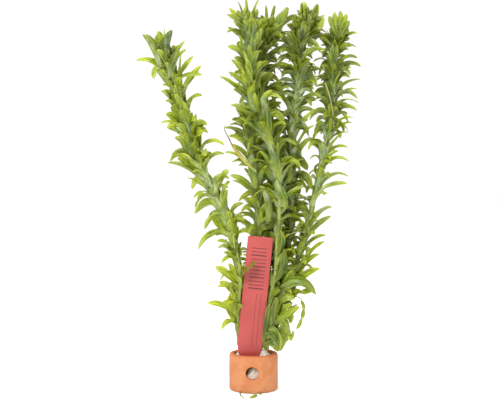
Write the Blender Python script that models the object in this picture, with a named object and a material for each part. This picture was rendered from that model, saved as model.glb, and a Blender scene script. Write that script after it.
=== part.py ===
"""Potted Brazilian waterweed: six leafy cuttings in a clay ring, held by mineral wool, with a stick label.

The model is in metres with +Z up. Its origin is the centre of the ring's underside, +X is to the right and
-Y is towards the viewer. Lengths below are in millimetres and angles in degrees, and meshes are scaled when
they are made.
"""

import math
import random
from itertools import combinations

import bmesh
import bpy
from mathutils import Matrix, Vector
from mathutils.bvhtree import BVHTree

MM = 0.001
GAP = 0.4

# Clay ring
RING_RADIUS = 14.8
RING_HEIGHT = 22.2
RING_WALL = 3.2
RING_EDGE = 1.7
RING_LIP = 0.9
RING_SIDES = 36
BORE_RADIUS = RING_RADIUS - RING_WALL
HOLE_RADIUS = 3.8
HOLE_X = -0.8
HOLE_HEIGHT = 12.0
HOLE_SIDES = 16

# Mineral wool
WOOL_TOP = 21.2
WOOL_CROWN = 22.8
WOOL_EDGE = 0.8
WOOL_SIDES = 24
SOCKET_SIDES = 8

# Stick label
LABEL_LENGTH = 82.2
LABEL_WIDTH = 15.0
LABEL_THICK = 0.6
LABEL_POINT = ((0.4, 0.0), (2.6, 4.2), (6.6, 11.8), (7.5, 16.6))
LABEL_CORNER = 1.0
LABEL_LEAN = 5.6
LABEL_TIP = (-3.8, -5.4, 10.8)
LABEL_FORWARD = 1.7
VIEW_CORRIDOR = 24.0

# Cuttings
STEM_RADIUS = 1.3
STEM_TIP_RADIUS = 0.8
STEM_END = 4.0
NODE_HEIGHT = 1.2
SLOTS = 5
TIP_ZONE = 13.0
TIP_SPACINGS = (4.4, 3.6, 2.8)
BUD = 2.0
LEAF_ROLL = (18, 58)
SHOWN_ROLL = 48
SHOWN_WIDTH = 0.95
ROLL_END = 0.4
LEAF_EDGE = 0.15
LEAF_KEEL = 0.3
CLEARANCE = 0.2
LOWEST_LEAF = 1.5

# How far the leaves lean from the stem and how much they arch, by their distance below the stem's tip, and
# the share of it that is left at the front and back, because the bunch was pressed flat
SPREAD = ((0, 16, 4), (4, 32, 12), (13, 38, 20), (30, 42, 30), (60, 48, 38), (110, 52, 40), (230, 48, 30))
PRESSED = 0.5
FIRM_ZONE = 50
LIMP = 36

# Each cutting's route, as points from its cut end to its tip, the height where its leaves start, and its
# spacing of leaf whorls at the foot and below the tip. Leaf is the usual length and width of its leaves, and
# habit how much they lean and arch. Sparse stretches, between two heights, keep only that share of their
# leaves. A shown leaf is (height of its whorl, tip x, y, z, arch, width), and one that has to go round
# something also has a point that it bends by.
STEMS = {
    "stem_left": {
        "seed": 11,
        "route": (
            (-5.4, -0.8, 4), (-6, -1.2, 23), (-9, -3.6, 42), (-8.8, -6.4, 57), (-8, -7.6, 66),
            (-8.8, -7.4, 75), (-10.8, -6.8, 86), (-14, -6.4, 98), (-20.5, -6, 112), (-29, -6, 130),
            (-34, -6, 144), (-40, -6.4, 160), (-45, -7, 179), (-49.6, -8, 193), (-53, -9, 204),
        ),
        "first": 33,
        "spacing": (8.0, 9.0),
        "leaf": (19.5, 4.8),
        "habit": (0.52, 0.4),
        "sparse": ((64, 128, 0.55), (192, 220, 0.4)),
        "shown": (
            (194, -64.1, -9, 211.5, 12, 4.8), (197, -49, -12, 213.3, 6, 4.6),
            (199, -52.6, -7, 216, 4, 2.6), (195, -40.4, -5, 208.4, 18, 2.8),
            (192, -42.2, -9, 205.6, 16, 3.6), (190, -39.2, -12, 202.4, 12, 4.2),
            (187, -35.4, -8, 199.1, 8, 4.4), (180, -31, -7, 193.6, 8, 4.4),
            (178, -30, -13, 187.3, 30, 4.2), (187, -69.1, -10, 196.1, 30, 4.6),
            (187, -58.3, -13, 185.1, 62, 4.0), (170, -30.1, -12, 175.7, 30, 3.4),
            (150, -54.5, -12, 159.4, 26, 4.4), (150, -28.9, -10, 160.6, 6, 4.8),
            (140, -17.2, -9, 146.5, 55, 3.6), (130, -17.2, -10, 141.4, 36, 4.0),
            (124, -50.8, -10, 136.2, 6, 4.0), (112, -35.2, -14, 115.5, 55, 3.8),
            (96, -32.5, -12, 85.1, 42, 4.2), (88, -21.5, -12, 90, 20, 3.6),
            (76, -17.4, -13, 83.5, 10, 4.0), (62, -22.6, -12, 74.8, 10, 5.6),
            (60, -21.5, -6, 62.4, 20, 3.8), (46, -27.4, -8, 52.8, 12, 4.2),
            (38, -18.9, -12, 37.7, 55, 3.8), (66, 1.8, -12.8, 78.2, 0, 4.2, (-7.6, -14, 69)),
        ),
    },
    "stem_low": {
        "seed": 23,
        "route": (
            (-1.6, -2, 4), (-1.8, -2.2, 23), (1, -1.2, 54), (3, -3, 90), (3, -7, 122),
            (-0.5, -10, 144), (-4, -12, 163),
        ),
        "first": 36,
        "spacing": (9.0, 9.0),
        "leaf": (19, 4.0),
        "shown": (
            (131, -13.1, -16, 146.9, 14, 4.4), (146, -17.2, -14, 156.7, 24, 2.4),
            (128, -17, -14, 142.3, 28, 3.8), (112, -12.5, -12, 126, 18, 4.0),
        ),
    },
    "stem_front": {
        "seed": 35,
        "route": (
            (3, -2.2, 4), (3.6, -2.4, 23), (9.6, -4, 54), (13, -6, 70), (14.2, -8, 91), (15, -11, 108),
            (14.6, -14, 124), (10.5, -16, 145), (5, -17, 159), (-0.5, -17, 173), (-2.2, -17, 190),
            (-2.4, -18, 206), (-3.6, -19, 216),
        ),
        "first": 33,
        "spacing": (9.0, 8.6),
        "leaf": (19.5, 4.2),
        "habit": (0.68, 0.6),
        "shown": (
            (172, -19.8, -19, 186.1, 8, 4.2), (168, -19.3, -22, 176.5, 40, 4.4),
            (176, -14.5, -16, 189, 4, 3.8), (212, -15.4, -20, 221.5, 14, 3.8),
            (210, -14.2, -16, 226, 6, 3.6), (212, -9, -22, 229, 2, 3.6),
            (206, -15.4, -22, 211, 20, 4.2), (196, -15, -22, 203, 14, 4.2),
            (217, -4.5, -19, 232.2, 0, 2.6), (215, 3.2, -22, 230.5, 4, 3.6),
        ),
    },
    "stem_tall": {
        "seed": 47,
        "route": (
            (-0.4, 3.8, 4), (-0.2, 3.6, 23), (5, 8, 54), (10, 9, 90), (12, 8, 125), (9, 6, 148),
            (5.5, 4, 170), (3.6, 3, 190), (6, 1, 204), (8.8, 0, 215),
        ),
        "first": 36,
        "spacing": (9.5, 8.6),
        "leaf": (21, 3.9),
        "habit": (1.1, 1.7),
        "shown": (
            (216, 12.7, -2, 230.1, 2, 3.4), (214, 7.4, 4, 231, 4, 3.0), (206, 21.3, -2, 228, 8, 4.4),
            (208, 26.4, 4, 225, 10, 4.2), (200, 24, -3, 214, 12, 4.6), (192, 23, -3, 205, 20, 4.4),
            (184, 22, -6, 193, 34, 4.6), (174, 21, -6, 180, 40, 4.4),
        ),
    },
    "stem_centre": {
        "seed": 59,
        "route": (
            (3.6, 3, 4), (4.2, 2.8, 23), (13, 3, 54), (20.4, 1, 88), (23, -2, 110), (23, -4, 140),
            (23.4, -5, 160), (26.4, -5, 180), (27, -5, 200), (28.4, -5, 209), (30, -5, 217.5),
        ),
        "first": 33,
        "spacing": (9.0, 9.0),
        "leaf": (20.5, 3.8),
        "habit": (1.1, 1.7),
        "shown": (
            (214, 28.1, -7, 230.4, 2, 4.2), (212, 37.6, -6, 229.2, 4, 4.2),
            (212, 42.7, -4, 223.3, 14, 3.6), (205, 41, -7, 216, 12, 4.4), (170, 40, -10, 175, 40, 3.4),
            (150, 37, -8, 168, 10, 4.0), (146, 36, -12, 158, 14, 4.4),
        ),
    },
    "stem_right": {
        "seed": 71,
        "route": (
            (6.6, 0.2, 4), (7.6, 0.4, 23), (13.6, 0, 40), (19.4, -1, 52), (23.4, -2, 63), (27, -3, 80),
            (31.6, -4, 97), (35.6, -4, 113), (39.4, -3, 130), (42.6, -1, 146), (46.4, 1, 163),
            (48, 3, 180), (48.4, 4, 198), (50.6, 4, 213),
        ),
        "first": 31,
        "spacing": (7.6, 8.6),
        "leaf": (18.5, 3.5),
        "habit": (1.1, 1.7),
        "sparse": ((20, 60, 0.3), (66, 150, 0.75)),
        "shown": (
            (213, 51.9, 4, 227.5, 2, 3.4), (212, 56.4, 2, 224, 6, 3.6), (212, 46, 2, 224, 6, 3.6),
            (206, 62.6, 4, 213.9, 22, 3.2), (200, 61.4, 2, 205.5, 40, 3.6),
            (190, 62.6, 4, 199, 40, 3.4), (184, 58.4, 0, 193, 44, 3.6), (174, 64.5, 4, 186.5, 34, 2.8),
            (170, 62.4, 0, 180.5, 50, 3.6), (163, 63.3, 2, 172, 52, 3.4), (160, 58, -2, 170, 34, 3.4),
            (152, 60.4, 0, 163.3, 40, 3.2), (148, 58.8, -4, 160, 20, 4.0),
            (146, 57.2, 0, 154.5, 44, 3.8), (140, 52, -6, 153.5, 8, 4.2), (136, 57, 2, 145.5, 44, 3.0),
            (130, 57.2, -2, 137, 52, 3.4), (120, 57.2, 0, 127.8, 40, 2.8),
            (116, 55.8, -4, 124, 20, 3.6), (97, 46.7, -6, 110, 22, 4.4),
            (92, 46.6, -2, 104.5, 22, 4.2), (84, 43.3, -2, 93, 30, 2.8), (80, 42.4, -6, 89.5, 12, 4.2),
            (72, 39.4, -5, 82, 20, 4.6), (62, 39.8, -4, 73, 24, 5.2), (54, 36.8, -8, 59, 40, 6.4),
            (44, 27.1, -8, 51.8, 10, 4.6), (38, 21.5, -12, 44.5, 20, 6.0), (34, 19.4, -9, 30, 62, 7.0),
        ),
    },
}
# The stretches of stem that show bare at the front, between these heights
BARE_FRONT = {
    "stem_left": ((60, 78), (92, 118)),
    "stem_low": ((110, 128),),
    "stem_front": ((56, 76), (90, 108), (117, 127), (138, 152)),
    "stem_centre": ((152, 166),),
}

# Colours, as linear RGB
TERRACOTTA = (0.80, 0.32, 0.12)
WOOL = (0.62, 0.56, 0.44)
LABEL_RED = (0.70, 0.10, 0.11)
LEAF_GREEN = (0.15, 0.31, 0.03)


def clear_scene():
    for thing in list(bpy.data.objects):
        bpy.data.objects.remove(thing)


def material(name, colour, roughness):
    made = bpy.data.materials.new(name)
    made.use_nodes = True
    shader = made.node_tree.nodes["Principled BSDF"]
    shader.inputs["Base Color"].default_value = (*colour, 1)
    shader.inputs["Roughness"].default_value = roughness
    shader.inputs["Metallic"].default_value = 0
    return made


def mesh_object(name, points, faces, look=None):
    """An object from points in millimetres, with its faces turned outwards."""
    mesh = bpy.data.meshes.new(name)
    mesh.from_pydata([Vector(p) * MM for p in points], [], faces)
    shaped = bmesh.new()
    shaped.from_mesh(mesh)
    bmesh.ops.recalc_face_normals(shaped, faces=shaped.faces)
    shaped.to_mesh(mesh)
    shaped.free()
    made = bpy.data.objects.new(name, mesh)
    bpy.context.scene.collection.objects.link(made)
    if look:
        mesh.materials.append(look)
    return made


def cutter(name, points, faces):
    made = mesh_object(name, points, faces)
    made.hide_render = True
    made.display_type = "WIRE"
    return made


def cut(target, tool):
    step = target.modifiers.new("cut " + tool.name, "BOOLEAN")
    step.operation = "DIFFERENCE"
    step.solver = "EXACT"
    step.object = tool


def arc(centre, radius, start, end, steps):
    """Points (r, z) along a rounded edge of a profile."""
    angles = [math.radians(start + (end - start) * i / steps) for i in range(steps + 1)]
    return [(centre[0] + radius * math.cos(a), centre[1] + radius * math.sin(a)) for a in angles]


def turned(profile, sides, closed):
    """Points and faces of a profile (r, z) turned about Z: a ring if closed, else a solid to the axis."""
    count = len(profile)
    points = []
    for i in range(sides):
        turn = math.tau * i / sides
        points += [(r * math.cos(turn), r * math.sin(turn), z) for r, z in profile]
    faces = []
    for i in range(sides):
        here, there = i * count, (i + 1) % sides * count
        for j in range(count if closed else count - 1):
            k = (j + 1) % count
            faces.append((here + j, there + j, there + k, here + k))
    if not closed:
        faces.append([i * count for i in range(sides)][::-1])
        faces.append([i * count + count - 1 for i in range(sides)])
    return points, faces


def tube(start, end, radius, sides):
    """Points and faces of a straight round bar."""
    start, end = Vector(start), Vector(end)
    turn = (end - start).to_track_quat("Z", "X").to_matrix()
    points = []
    for centre in (start, end):
        for i in range(sides):
            a = math.tau * i / sides
            points.append(centre + turn @ Vector((radius * math.cos(a), radius * math.sin(a), 0)))
    faces = [(i, (i + 1) % sides, sides + (i + 1) % sides, sides + i) for i in range(sides)]
    faces += [tuple(range(sides))[::-1], tuple(range(sides, 2 * sides))]
    return points, faces


def make_ring(look):
    edge, lip = RING_EDGE, RING_LIP
    profile = arc((RING_RADIUS - edge, edge), edge, -90, 0, 3)
    profile += arc((RING_RADIUS - edge, RING_HEIGHT - edge), edge, 0, 90, 3)
    profile += arc((BORE_RADIUS + lip, RING_HEIGHT - lip), lip, 90, 180, 2)
    profile += arc((BORE_RADIUS + lip, lip), lip, 180, 270, 2)
    ring = mesh_object("clay_ring", *turned(profile, RING_SIDES, True), look)
    reach = RING_RADIUS + 5
    hole = tube((HOLE_X, -reach, HOLE_HEIGHT), (HOLE_X, reach, HOLE_HEIGHT), HOLE_RADIUS, HOLE_SIDES)
    cut(ring, cutter("side_hole", *hole))
    return ring


def label_outline(grow):
    """The label's outline as (across, along) points from its tip, widened all round by grow."""
    half = LABEL_WIDTH / 2 + grow
    top = LABEL_LENGTH + grow
    corner = LABEL_CORNER
    right = [(x + grow, y - grow * (1 - y / LABEL_POINT[-1][1])) for x, y in LABEL_POINT]
    right += arc((half - corner, top - corner), corner, 0, 90, 3)
    return right + [(-x, y) for x, y in reversed(right)]


def label_place():
    """The label's frame: across is X, along is Y and its thickness is Z, before it leans."""
    lean = Matrix.Rotation(math.radians(LABEL_LEAN), 4, "Y")
    forward = Matrix.Rotation(math.radians(90 + LABEL_FORWARD), 4, "X")
    return Matrix.Translation(Vector(LABEL_TIP)) @ lean @ forward


def label_slab(grow, back, front):
    """Points and faces of the label's outline between two planes, with front towards the viewer."""
    place = label_place()
    outline = label_outline(grow)
    count = len(outline)
    points = [place @ Vector((x, y, z)) for z in (-back, front) for x, y in outline]
    faces = [(i, (i + 1) % count, count + (i + 1) % count, count + i) for i in range(count)]
    faces += [tuple(range(count))[::-1], tuple(range(count, 2 * count))]
    return points, faces


def make_label(look):
    return mesh_object("plant_label", *label_slab(0, LABEL_THICK / 2, LABEL_THICK / 2), look)


def make_wool(look):
    radius = BORE_RADIUS - GAP
    profile = arc((radius - WOOL_EDGE, WOOL_EDGE), WOOL_EDGE, -90, 0, 2)
    profile += [(radius, WOOL_TOP - 1), (radius - 1.5, WOOL_TOP)]
    profile += [(radius - 5, WOOL_CROWN - 0.3), (1, WOOL_CROWN)]
    wool = mesh_object("wool_plug", *turned(profile, WOOL_SIDES, False), look)
    pocket = label_slab(GAP, LABEL_THICK / 2 + GAP, RING_RADIUS)
    cut(wool, cutter("label_pocket", *pocket))
    for name, spec in STEMS.items():
        foot, rim = Vector(spec["route"][0]), Vector(spec["route"][1])
        low = foot - (rim - foot).normalized() * GAP
        high = rim + (rim - foot) * 0.5
        cut(wool, cutter(name + "_socket", *tube(low, high, STEM_RADIUS + GAP, SOCKET_SIDES)))
    return wool


def smooth_route(route, steps=10):
    """Closely spaced points of a smooth curve through a route's points, straight in its first stretch."""
    knots = [Vector(p) for p in route]
    line = [knots[0]]
    for i in range(1, len(knots) - 1):
        before, here, there = knots[i - 1], knots[i], knots[i + 1]
        after = knots[min(i + 2, len(knots) - 1)]
        for j in range(steps):
            t = j / steps
            a, b = (there - before) * 0.5, (after - here) * 0.5
            ease = t * t * (3 - 2 * t)
            line.append(
                here * (1 - ease) + there * ease + a * (t * (1 - t) ** 2) - b * (t * t * (1 - t))
            )
    line.append(knots[-1])
    return line


def along(line, distance):
    """The point and the direction at a distance along a line of points."""
    for here, there in zip(line, line[1:]):
        step = (there - here).length
        if distance <= step or there is line[-1]:
            return here + (there - here) * (distance / step), (there - here).normalized()
        distance -= step


def length_of(line):
    return sum((b - a).length for a, b in zip(line, line[1:]))


def read_spread(below_tip):
    """The usual lean and arch of leaves at a distance below a stem's tip."""
    for low, high in zip(SPREAD, SPREAD[1:]):
        if below_tip <= high[0]:
            t = (below_tip - low[0]) / (high[0] - low[0])
            return low[1] + (high[1] - low[1]) * t, low[2] + (high[2] - low[2]) * t
    return SPREAD[-1][1:]


def side_directions(axis):
    """Two directions across a stem: towards the viewer, and to the right."""
    viewer = Vector((0, -1, 0))
    viewer = (viewer - axis * viewer.dot(axis)).normalized()
    return viewer, axis.cross(viewer).normalized()


def outward(whorl, yaw):
    viewer, right = side_directions(whorl["axis"])
    return viewer * math.cos(yaw) + right * math.sin(yaw)


def make_whorls(spec):
    """The whorls of one cutting: where each sits on the stem, its direction and how it is turned."""
    line = smooth_route(spec["route"])
    length = length_of(line)
    places = []
    reach = length - BUD
    for step in reversed(TIP_SPACINGS):
        places.append(reach)
        reach -= step
    low, high = spec["spacing"]
    start = spec["first"] - STEM_END
    while reach > start:
        places.append(reach)
        reach -= low + (high - low) * (reach - start) / (length - TIP_ZONE - start)
    whorls = []
    for i, place in enumerate(reversed(places)):
        centre, axis = along(line, place)
        below = length - place
        share = min(1, max(0, (below - 2) / 40))
        whorls.append({
            "centre": centre,
            "axis": axis,
            "below": below,
            "turn": math.radians(36 * (i % 2)),
            "radius": STEM_TIP_RADIUS + (STEM_RADIUS - STEM_TIP_RADIUS) * share,
            "height": NODE_HEIGHT if below > TIP_ZONE else NODE_HEIGHT * 0.6,
            "leaves": [None] * SLOTS,
        })
    return whorls


def bent(axis, out, lean, turn):
    """A direction that leans from the axis by an angle, in the plane of out turned about the axis."""
    side = axis.cross(out)
    level = out * math.cos(turn) + side * math.sin(turn)
    return axis * math.cos(lean) + level * math.sin(lean)


def free_leaf(whorl, yaw, length, width, lean, arch, curl, roll):
    """A leaf as the four points of its curve, its width, its direction across at its root, and its roll."""
    axis, out = whorl["axis"], outward(whorl, yaw)
    points = [whorl["centre"] + out * whorl["radius"] * 0.9]
    for i in range(3):
        direction = bent(axis, out, lean + arch * (i - 1), curl * i)
        points.append(points[-1] + direction * length / 3)
    return {"curve": points, "width": width, "across": axis.cross(out), "roll": roll}


def aimed_leaf(whorl, tip, width, arch, by=None):
    """A leaf whose curve ends at a chosen tip, rolled so that it shows its upper face to the viewer."""
    axis = whorl["axis"]
    level = (by or tip) - whorl["centre"]
    level = (level - axis * level.dot(axis)).normalized()
    root = whorl["centre"] + level * whorl["radius"] * 0.9
    reach = tip - root
    lean = reach.angle(axis)
    out = (reach - axis * reach.dot(axis)).normalized()
    leg = reach.length / (1 + 2 * math.cos(arch))
    points = [root]
    if by:
        points += [by, by.lerp(tip, 0.5), tip]
    else:
        for i in range(3):
            points.append(points[-1] + bent(axis, out, lean + arch * (i - 1), 0) * leg)
    across = axis.cross(out)
    side = side_directions(axis)[1].dot(out)
    roll = math.radians(SHOWN_ROLL) * side
    return {"curve": points, "width": width, "across": across, "roll": roll}


def curve_at(leaf, t):
    """A point of a leaf's curve, and its direction there."""
    a, b, c, d = leaf["curve"]
    s = 1 - t
    point = a * s**3 + b * (3 * s * s * t) + c * (3 * s * t * t) + d * t**3
    direction = (b - a) * s * s + (c - b) * (2 * s * t) + (d - c) * t * t
    return point, direction.normalized()


def leaf_width(leaf, t):
    """A leaf's width along its length: narrow at the root, full before the middle, and blunt at the tip."""
    rise = 0.45 + 0.55 * min(1, t / 0.4)
    fall = math.sqrt(max(0, 1 - (max(0, t - 0.5) / 0.5) ** 2.2))
    return leaf["width"] * rise * fall


def across_at(leaf, t, direction):
    """The direction across a leaf, which rolls about its length on its way out from the stem."""
    across = (leaf["across"] - direction * leaf["across"].dot(direction)).normalized()
    roll = leaf["roll"] * min(1, t / ROLL_END)
    return across * math.cos(roll) + direction.cross(across) * math.sin(roll)


def section(leaf, t, grow=0.0):
    """Three points of a leaf's cross-section: its two edges and its keel."""
    point, direction = curve_at(leaf, t)
    across = across_at(leaf, t, direction)
    upper = direction.cross(across)
    half = leaf_width(leaf, t) / 2 + grow
    left = point - across * half + upper * (LEAF_EDGE + grow)
    right = point + across * half + upper * (LEAF_EDGE + grow)
    return left, point - upper * (LEAF_KEEL + grow), right


def sections_of(leaf):
    """Where along a leaf its solid has a cross-section: more where it arches strongly."""
    legs = [b - a for a, b in zip(leaf["curve"], leaf["curve"][1:])]
    bend = legs[0].angle(legs[2])
    return (0.36, 0.76) if bend > math.radians(75) or leaf["width"] > 5.6 else (0.6,)


def test_shape(leaf, start=0):
    """A leaf's solid a little enlarged, from a share of the way to its first section, to find overlaps."""
    first = section(leaf, sections_of(leaf)[0], CLEARANCE)
    points = [a.lerp(b, start) for a, b in zip(section(leaf, 0, CLEARANCE), first)]
    faces = [(0, 1, 2)]
    for t in sections_of(leaf):
        here = len(points)
        points += section(leaf, t, CLEARANCE)
        for i in range(3):
            j = (i + 1) % 3
            faces += [(here - 3 + i, here - 3 + j, here + j), (here - 3 + i, here + j, here + i)]
    last = len(points)
    tip, direction = curve_at(leaf, 1)
    points.append(tip + direction * CLEARANCE)
    faces += [(last - 3 + i, last - 3 + (i + 1) % 3, last) for i in range(3)]
    return BVHTree.FromPolygons(points, faces, all_triangles=True)


def stem_shape(whorls, spec):
    """The stem alone, as rings of points, for finding overlaps."""
    rings = stem_rings(whorls, spec)
    points = [p for ring in rings for p in ring]
    faces = []
    for i in range(len(rings) - 1):
        for j in range(SLOTS):
            k = (j + 1) % SLOTS
            a, b = i * SLOTS, (i + 1) * SLOTS
            faces.append((a + j, a + k, b + k, b + j))
    return BVHTree.FromPolygons(points, faces)


def pentagon(centre, axis, radius, turn):
    viewer, right = side_directions(axis)
    points = []
    for i in range(SLOTS):
        yaw = turn + math.tau * (i - 0.5) / SLOTS
        points.append(centre + (viewer * math.cos(yaw) + right * math.sin(yaw)) * radius)
    return points


def stem_rings(whorls, spec):
    """Rings of points up a stem: its cut end, the clay ring's rim, and the foot and head of every whorl."""
    foot, rim = Vector(spec["route"][0]), Vector(spec["route"][1])
    axis = (rim - foot).normalized()
    turn = whorls[0]["turn"]
    rings = [pentagon(p, axis, STEM_RADIUS, turn) for p in (foot, rim)]
    for whorl in whorls:
        for side in (-0.5, 0.5):
            centre = whorl["centre"] + whorl["axis"] * whorl["height"] * side
            rings.append(pentagon(centre, whorl["axis"], whorl["radius"], whorl["turn"]))
    return rings


def test_shapes(leaf):
    """The leaf's solid from its root, from just off the stem, and from well away from it."""
    return [test_shape(leaf, start) for start in (0, 0.25, 0.5)]


def crosses(leaf, name, fixed, stems, placed):
    """Whether a leaf would meet the ring, the label, a stem or a leaf that is there already."""
    full, near, outer = test_shapes(leaf)
    middle = curve_at(leaf, 0.5)[0]
    if min(curve_at(leaf, t)[0].z for t in (0.6, 0.8, 1.0)) < LOWEST_LEAF:
        return True
    if any(full.overlap(tree) for tree in fixed):
        return True
    for other, tree in stems.items():
        if (outer if other == name else full).overlap(tree):
            return True
    for other, centre, full_there, near_there in placed:
        if (centre - middle).length > 26:
            continue
        if near.overlap(near_there) if other == name else full.overlap(full_there):
            return True
    return False


def settle(leaf, name, placed):
    placed.append((name, curve_at(leaf, 0.5)[0], *test_shapes(leaf)[:2]))


def slot_yaw(whorl, slot):
    return whorl["turn"] + math.tau * slot / SLOTS


def turned_from(a, b):
    """The angle between two directions round the stem."""
    return abs((a - b + math.pi) % math.tau - math.pi)


def place_shown(name, whorls, shown, fixed, stems, placed):
    """Puts each chosen leaf on the free slot that faces its tip best, on the whorl nearest its height."""
    for height, x, y, z, arch, width, *by in shown:
        tip = Vector((x, y, z))
        by = Vector(by[0]) if by else None
        options = []
        for whorl in whorls:
            rise = abs(whorl["centre"].z - height)
            if rise > 9:
                continue
            viewer, right = side_directions(whorl["axis"])
            level = tip - whorl["centre"]
            yaw = math.atan2(level.dot(right), level.dot(viewer))
            for slot in range(SLOTS):
                if whorl["leaves"][slot] is None:
                    options.append((rise + 6 * turned_from(yaw, slot_yaw(whorl, slot)), whorl, slot))
        options.sort(key=lambda option: option[0])
        tries = [(whorl, slot, share) for _, whorl, slot in options[:4] for share in (1, 0.7)]
        for whorl, slot, share in tries:
            leaf = aimed_leaf(whorl, tip, width * SHOWN_WIDTH * share, math.radians(arch), by)
            leaf["roll"] *= share
            if not crosses(leaf, name, fixed[:2] if by else fixed, stems, placed):
                whorl["leaves"][slot] = leaf
                settle(leaf, name, placed)
                break


def spread_of(name, below_tip):
    """The lean and arch of a cutting's leaves at a distance below its tip."""
    lean, arch = read_spread(below_tip)
    more_lean, more_arch = STEMS[name].get("habit", (1, 1))
    return lean * more_lean, arch * more_arch


def kept_share(name, height):
    """The share of the leaves that a cutting has at a height."""
    for low, high, share in STEMS[name].get("sparse", ()):
        if low < height < high:
            return share
    return 0.94


def place_free(name, whorl, chance, fixed, stems, placed):
    """Fills a whorl's free slots by rule, trying a few leans where a leaf would meet something."""
    lean, arch = spread_of(name, whorl["below"])
    young = min(1, whorl["below"] / TIP_ZONE)
    bare = any(low < whorl["centre"].z < high for low, high in BARE_FRONT.get(name, ()))
    for slot in range(SLOTS):
        yaw = slot_yaw(whorl, slot)
        draws = [chance.uniform(-1, 1) for _ in range(9)]
        if whorl["leaves"][slot] is not None or abs(draws[8]) > kept_share(name, whorl["centre"].z):
            continue
        if bare and turned_from(yaw, 0) < math.radians(40):
            continue
        limp = LIMP if draws[8] > 0.5 and whorl["below"] > FIRM_ZONE else 0
        flat = PRESSED + (1 - PRESSED) * abs(math.sin(yaw))
        length, width = STEMS[name]["leaf"]
        length = (0.66 + 0.34 * young) * (length + 3.0 * draws[0])
        width = (0.8 + 0.2 * young) * (width + 0.8 * draws[1])
        roll = math.radians(LEAF_ROLL[0] + (LEAF_ROLL[1] - LEAF_ROLL[0]) * abs(draws[7])) * young
        for change in (0, -9, 9, -18, 16, 26):
            share = 1 - abs(change) / 70
            leaf = free_leaf(
                whorl,
                yaw + math.radians(12 * draws[2] + change * 0.5 * math.copysign(1, draws[6])),
                length * share,
                width * share,
                math.radians(max(8, (lean + limp + 12 * draws[3]) * flat + change * 0.7)),
                math.radians((arch + limp * 0.6 + 14 * draws[4]) * flat),
                math.radians(20 * draws[5]),
                math.copysign(roll * share * share, draws[7]),
            )
            if not crosses(leaf, name, fixed, stems, placed):
                whorl["leaves"][slot] = leaf
                settle(leaf, name, placed)
                break


def tree_of(points, faces):
    return BVHTree.FromPolygons([Vector(p) for p in points], faces)


def fixed_shapes():
    """What the leaves keep clear of: the ring, the label, and the space in front of the label."""
    bar = tube((0, 0, -1), (0, 0, RING_HEIGHT + GAP), RING_RADIUS + GAP, 32)
    label = label_slab(GAP, LABEL_THICK / 2 + GAP, LABEL_THICK / 2 + GAP)
    corridor = label_slab(GAP, LABEL_THICK / 2 + GAP, VIEW_CORRIDOR)
    return [tree_of(*bar), tree_of(*label), tree_of(*corridor)]


def grow():
    """Every cutting's whorls with leaves, which keep clear of other cuttings, the ring and the label."""
    fixed = fixed_shapes()
    grown = {name: make_whorls(spec) for name, spec in STEMS.items()}
    stems = {name: stem_shape(grown[name], spec) for name, spec in STEMS.items()}
    placed = []
    for name, spec in STEMS.items():
        place_shown(name, grown[name], spec["shown"], fixed, stems, placed)
    chances = {name: random.Random(spec["seed"]) for name, spec in STEMS.items()}
    order = [(whorl["centre"].z, name, whorl) for name in STEMS for whorl in grown[name]]
    for _, name, whorl in sorted(order, key=lambda entry: -entry[0]):
        place_free(name, whorl, chances[name], fixed, stems, placed)
    return grown


def joined(points, low, high):
    """The triangles between two loops that enclose the most, so that a twisted leaf isn't inside out."""
    count = len(low) + len(high)
    middle = points[low[0]]
    best, most = [], -math.inf
    for shift in range(len(high)):
        for upper_steps in combinations(range(count), len(high)):
            i, j, faces, volume = 0, shift, [], 0.0
            for step in range(count):
                a, b = low[i % len(low)], high[j % len(high)]
                if step in upper_steps:
                    j += 1
                    c = high[j % len(high)]
                else:
                    i += 1
                    c = low[i % len(low)]
                faces.append((a, c, b))
                volume += (points[a] - middle).dot((points[c] - middle).cross(points[b] - middle))
            if volume > most:
                best, most = faces, volume
    return best


def add_leaf(points, faces, base, leaf):
    """A leaf that grows out of a stem face's four corners: its foot, its sections and its pointed tip."""
    last = base
    for t in sections_of(leaf):
        here = len(points)
        points += section(leaf, t)
        loop = (here, here + 1, here + 2)
        faces += joined(points, last, loop)
        last = loop
    tip = len(points)
    points.append(curve_at(leaf, 1)[0])
    faces += [(last[i], last[(i + 1) % 3], tip) for i in range(3)]


def make_cutting(name, spec, whorls, look):
    """One cutting as one closed solid: a five-sided stem whose leaves grow out of its faces."""
    rings = stem_rings(whorls, spec)
    points = [p for ring in rings for p in ring]
    faces = [tuple(range(SLOTS))[::-1]]
    for i in range(len(rings) - 1):
        whorl = whorls[(i - 2) // 2] if i >= 2 and i % 2 == 0 else None
        for j in range(SLOTS):
            k = (j + 1) % SLOTS
            base = (i * SLOTS + j, i * SLOTS + k, (i + 1) * SLOTS + k, (i + 1) * SLOTS + j)
            if whorl and whorl["leaves"][j]:
                add_leaf(points, faces, base, whorl["leaves"][j])
            else:
                faces.append(base)
    last = (len(rings) - 1) * SLOTS
    bud = len(points)
    points.append(whorls[-1]["centre"] + whorls[-1]["axis"] * BUD)
    faces += [(last + j, last + (j + 1) % SLOTS, bud) for j in range(SLOTS)]
    return mesh_object(name, points, faces, look)


def main():
    clear_scene()
    clay = material("terracotta", TERRACOTTA, 0.85)
    wool = material("mineral_wool", WOOL, 0.95)
    plastic = material("label_plastic", LABEL_RED, 0.4)
    leaf = material("waterweed", LEAF_GREEN, 0.45)
    make_ring(clay)
    make_label(plastic)
    make_wool(wool)
    grown = grow()
    for name, spec in STEMS.items():
        make_cutting(name, spec, grown[name], leaf)


main()
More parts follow.
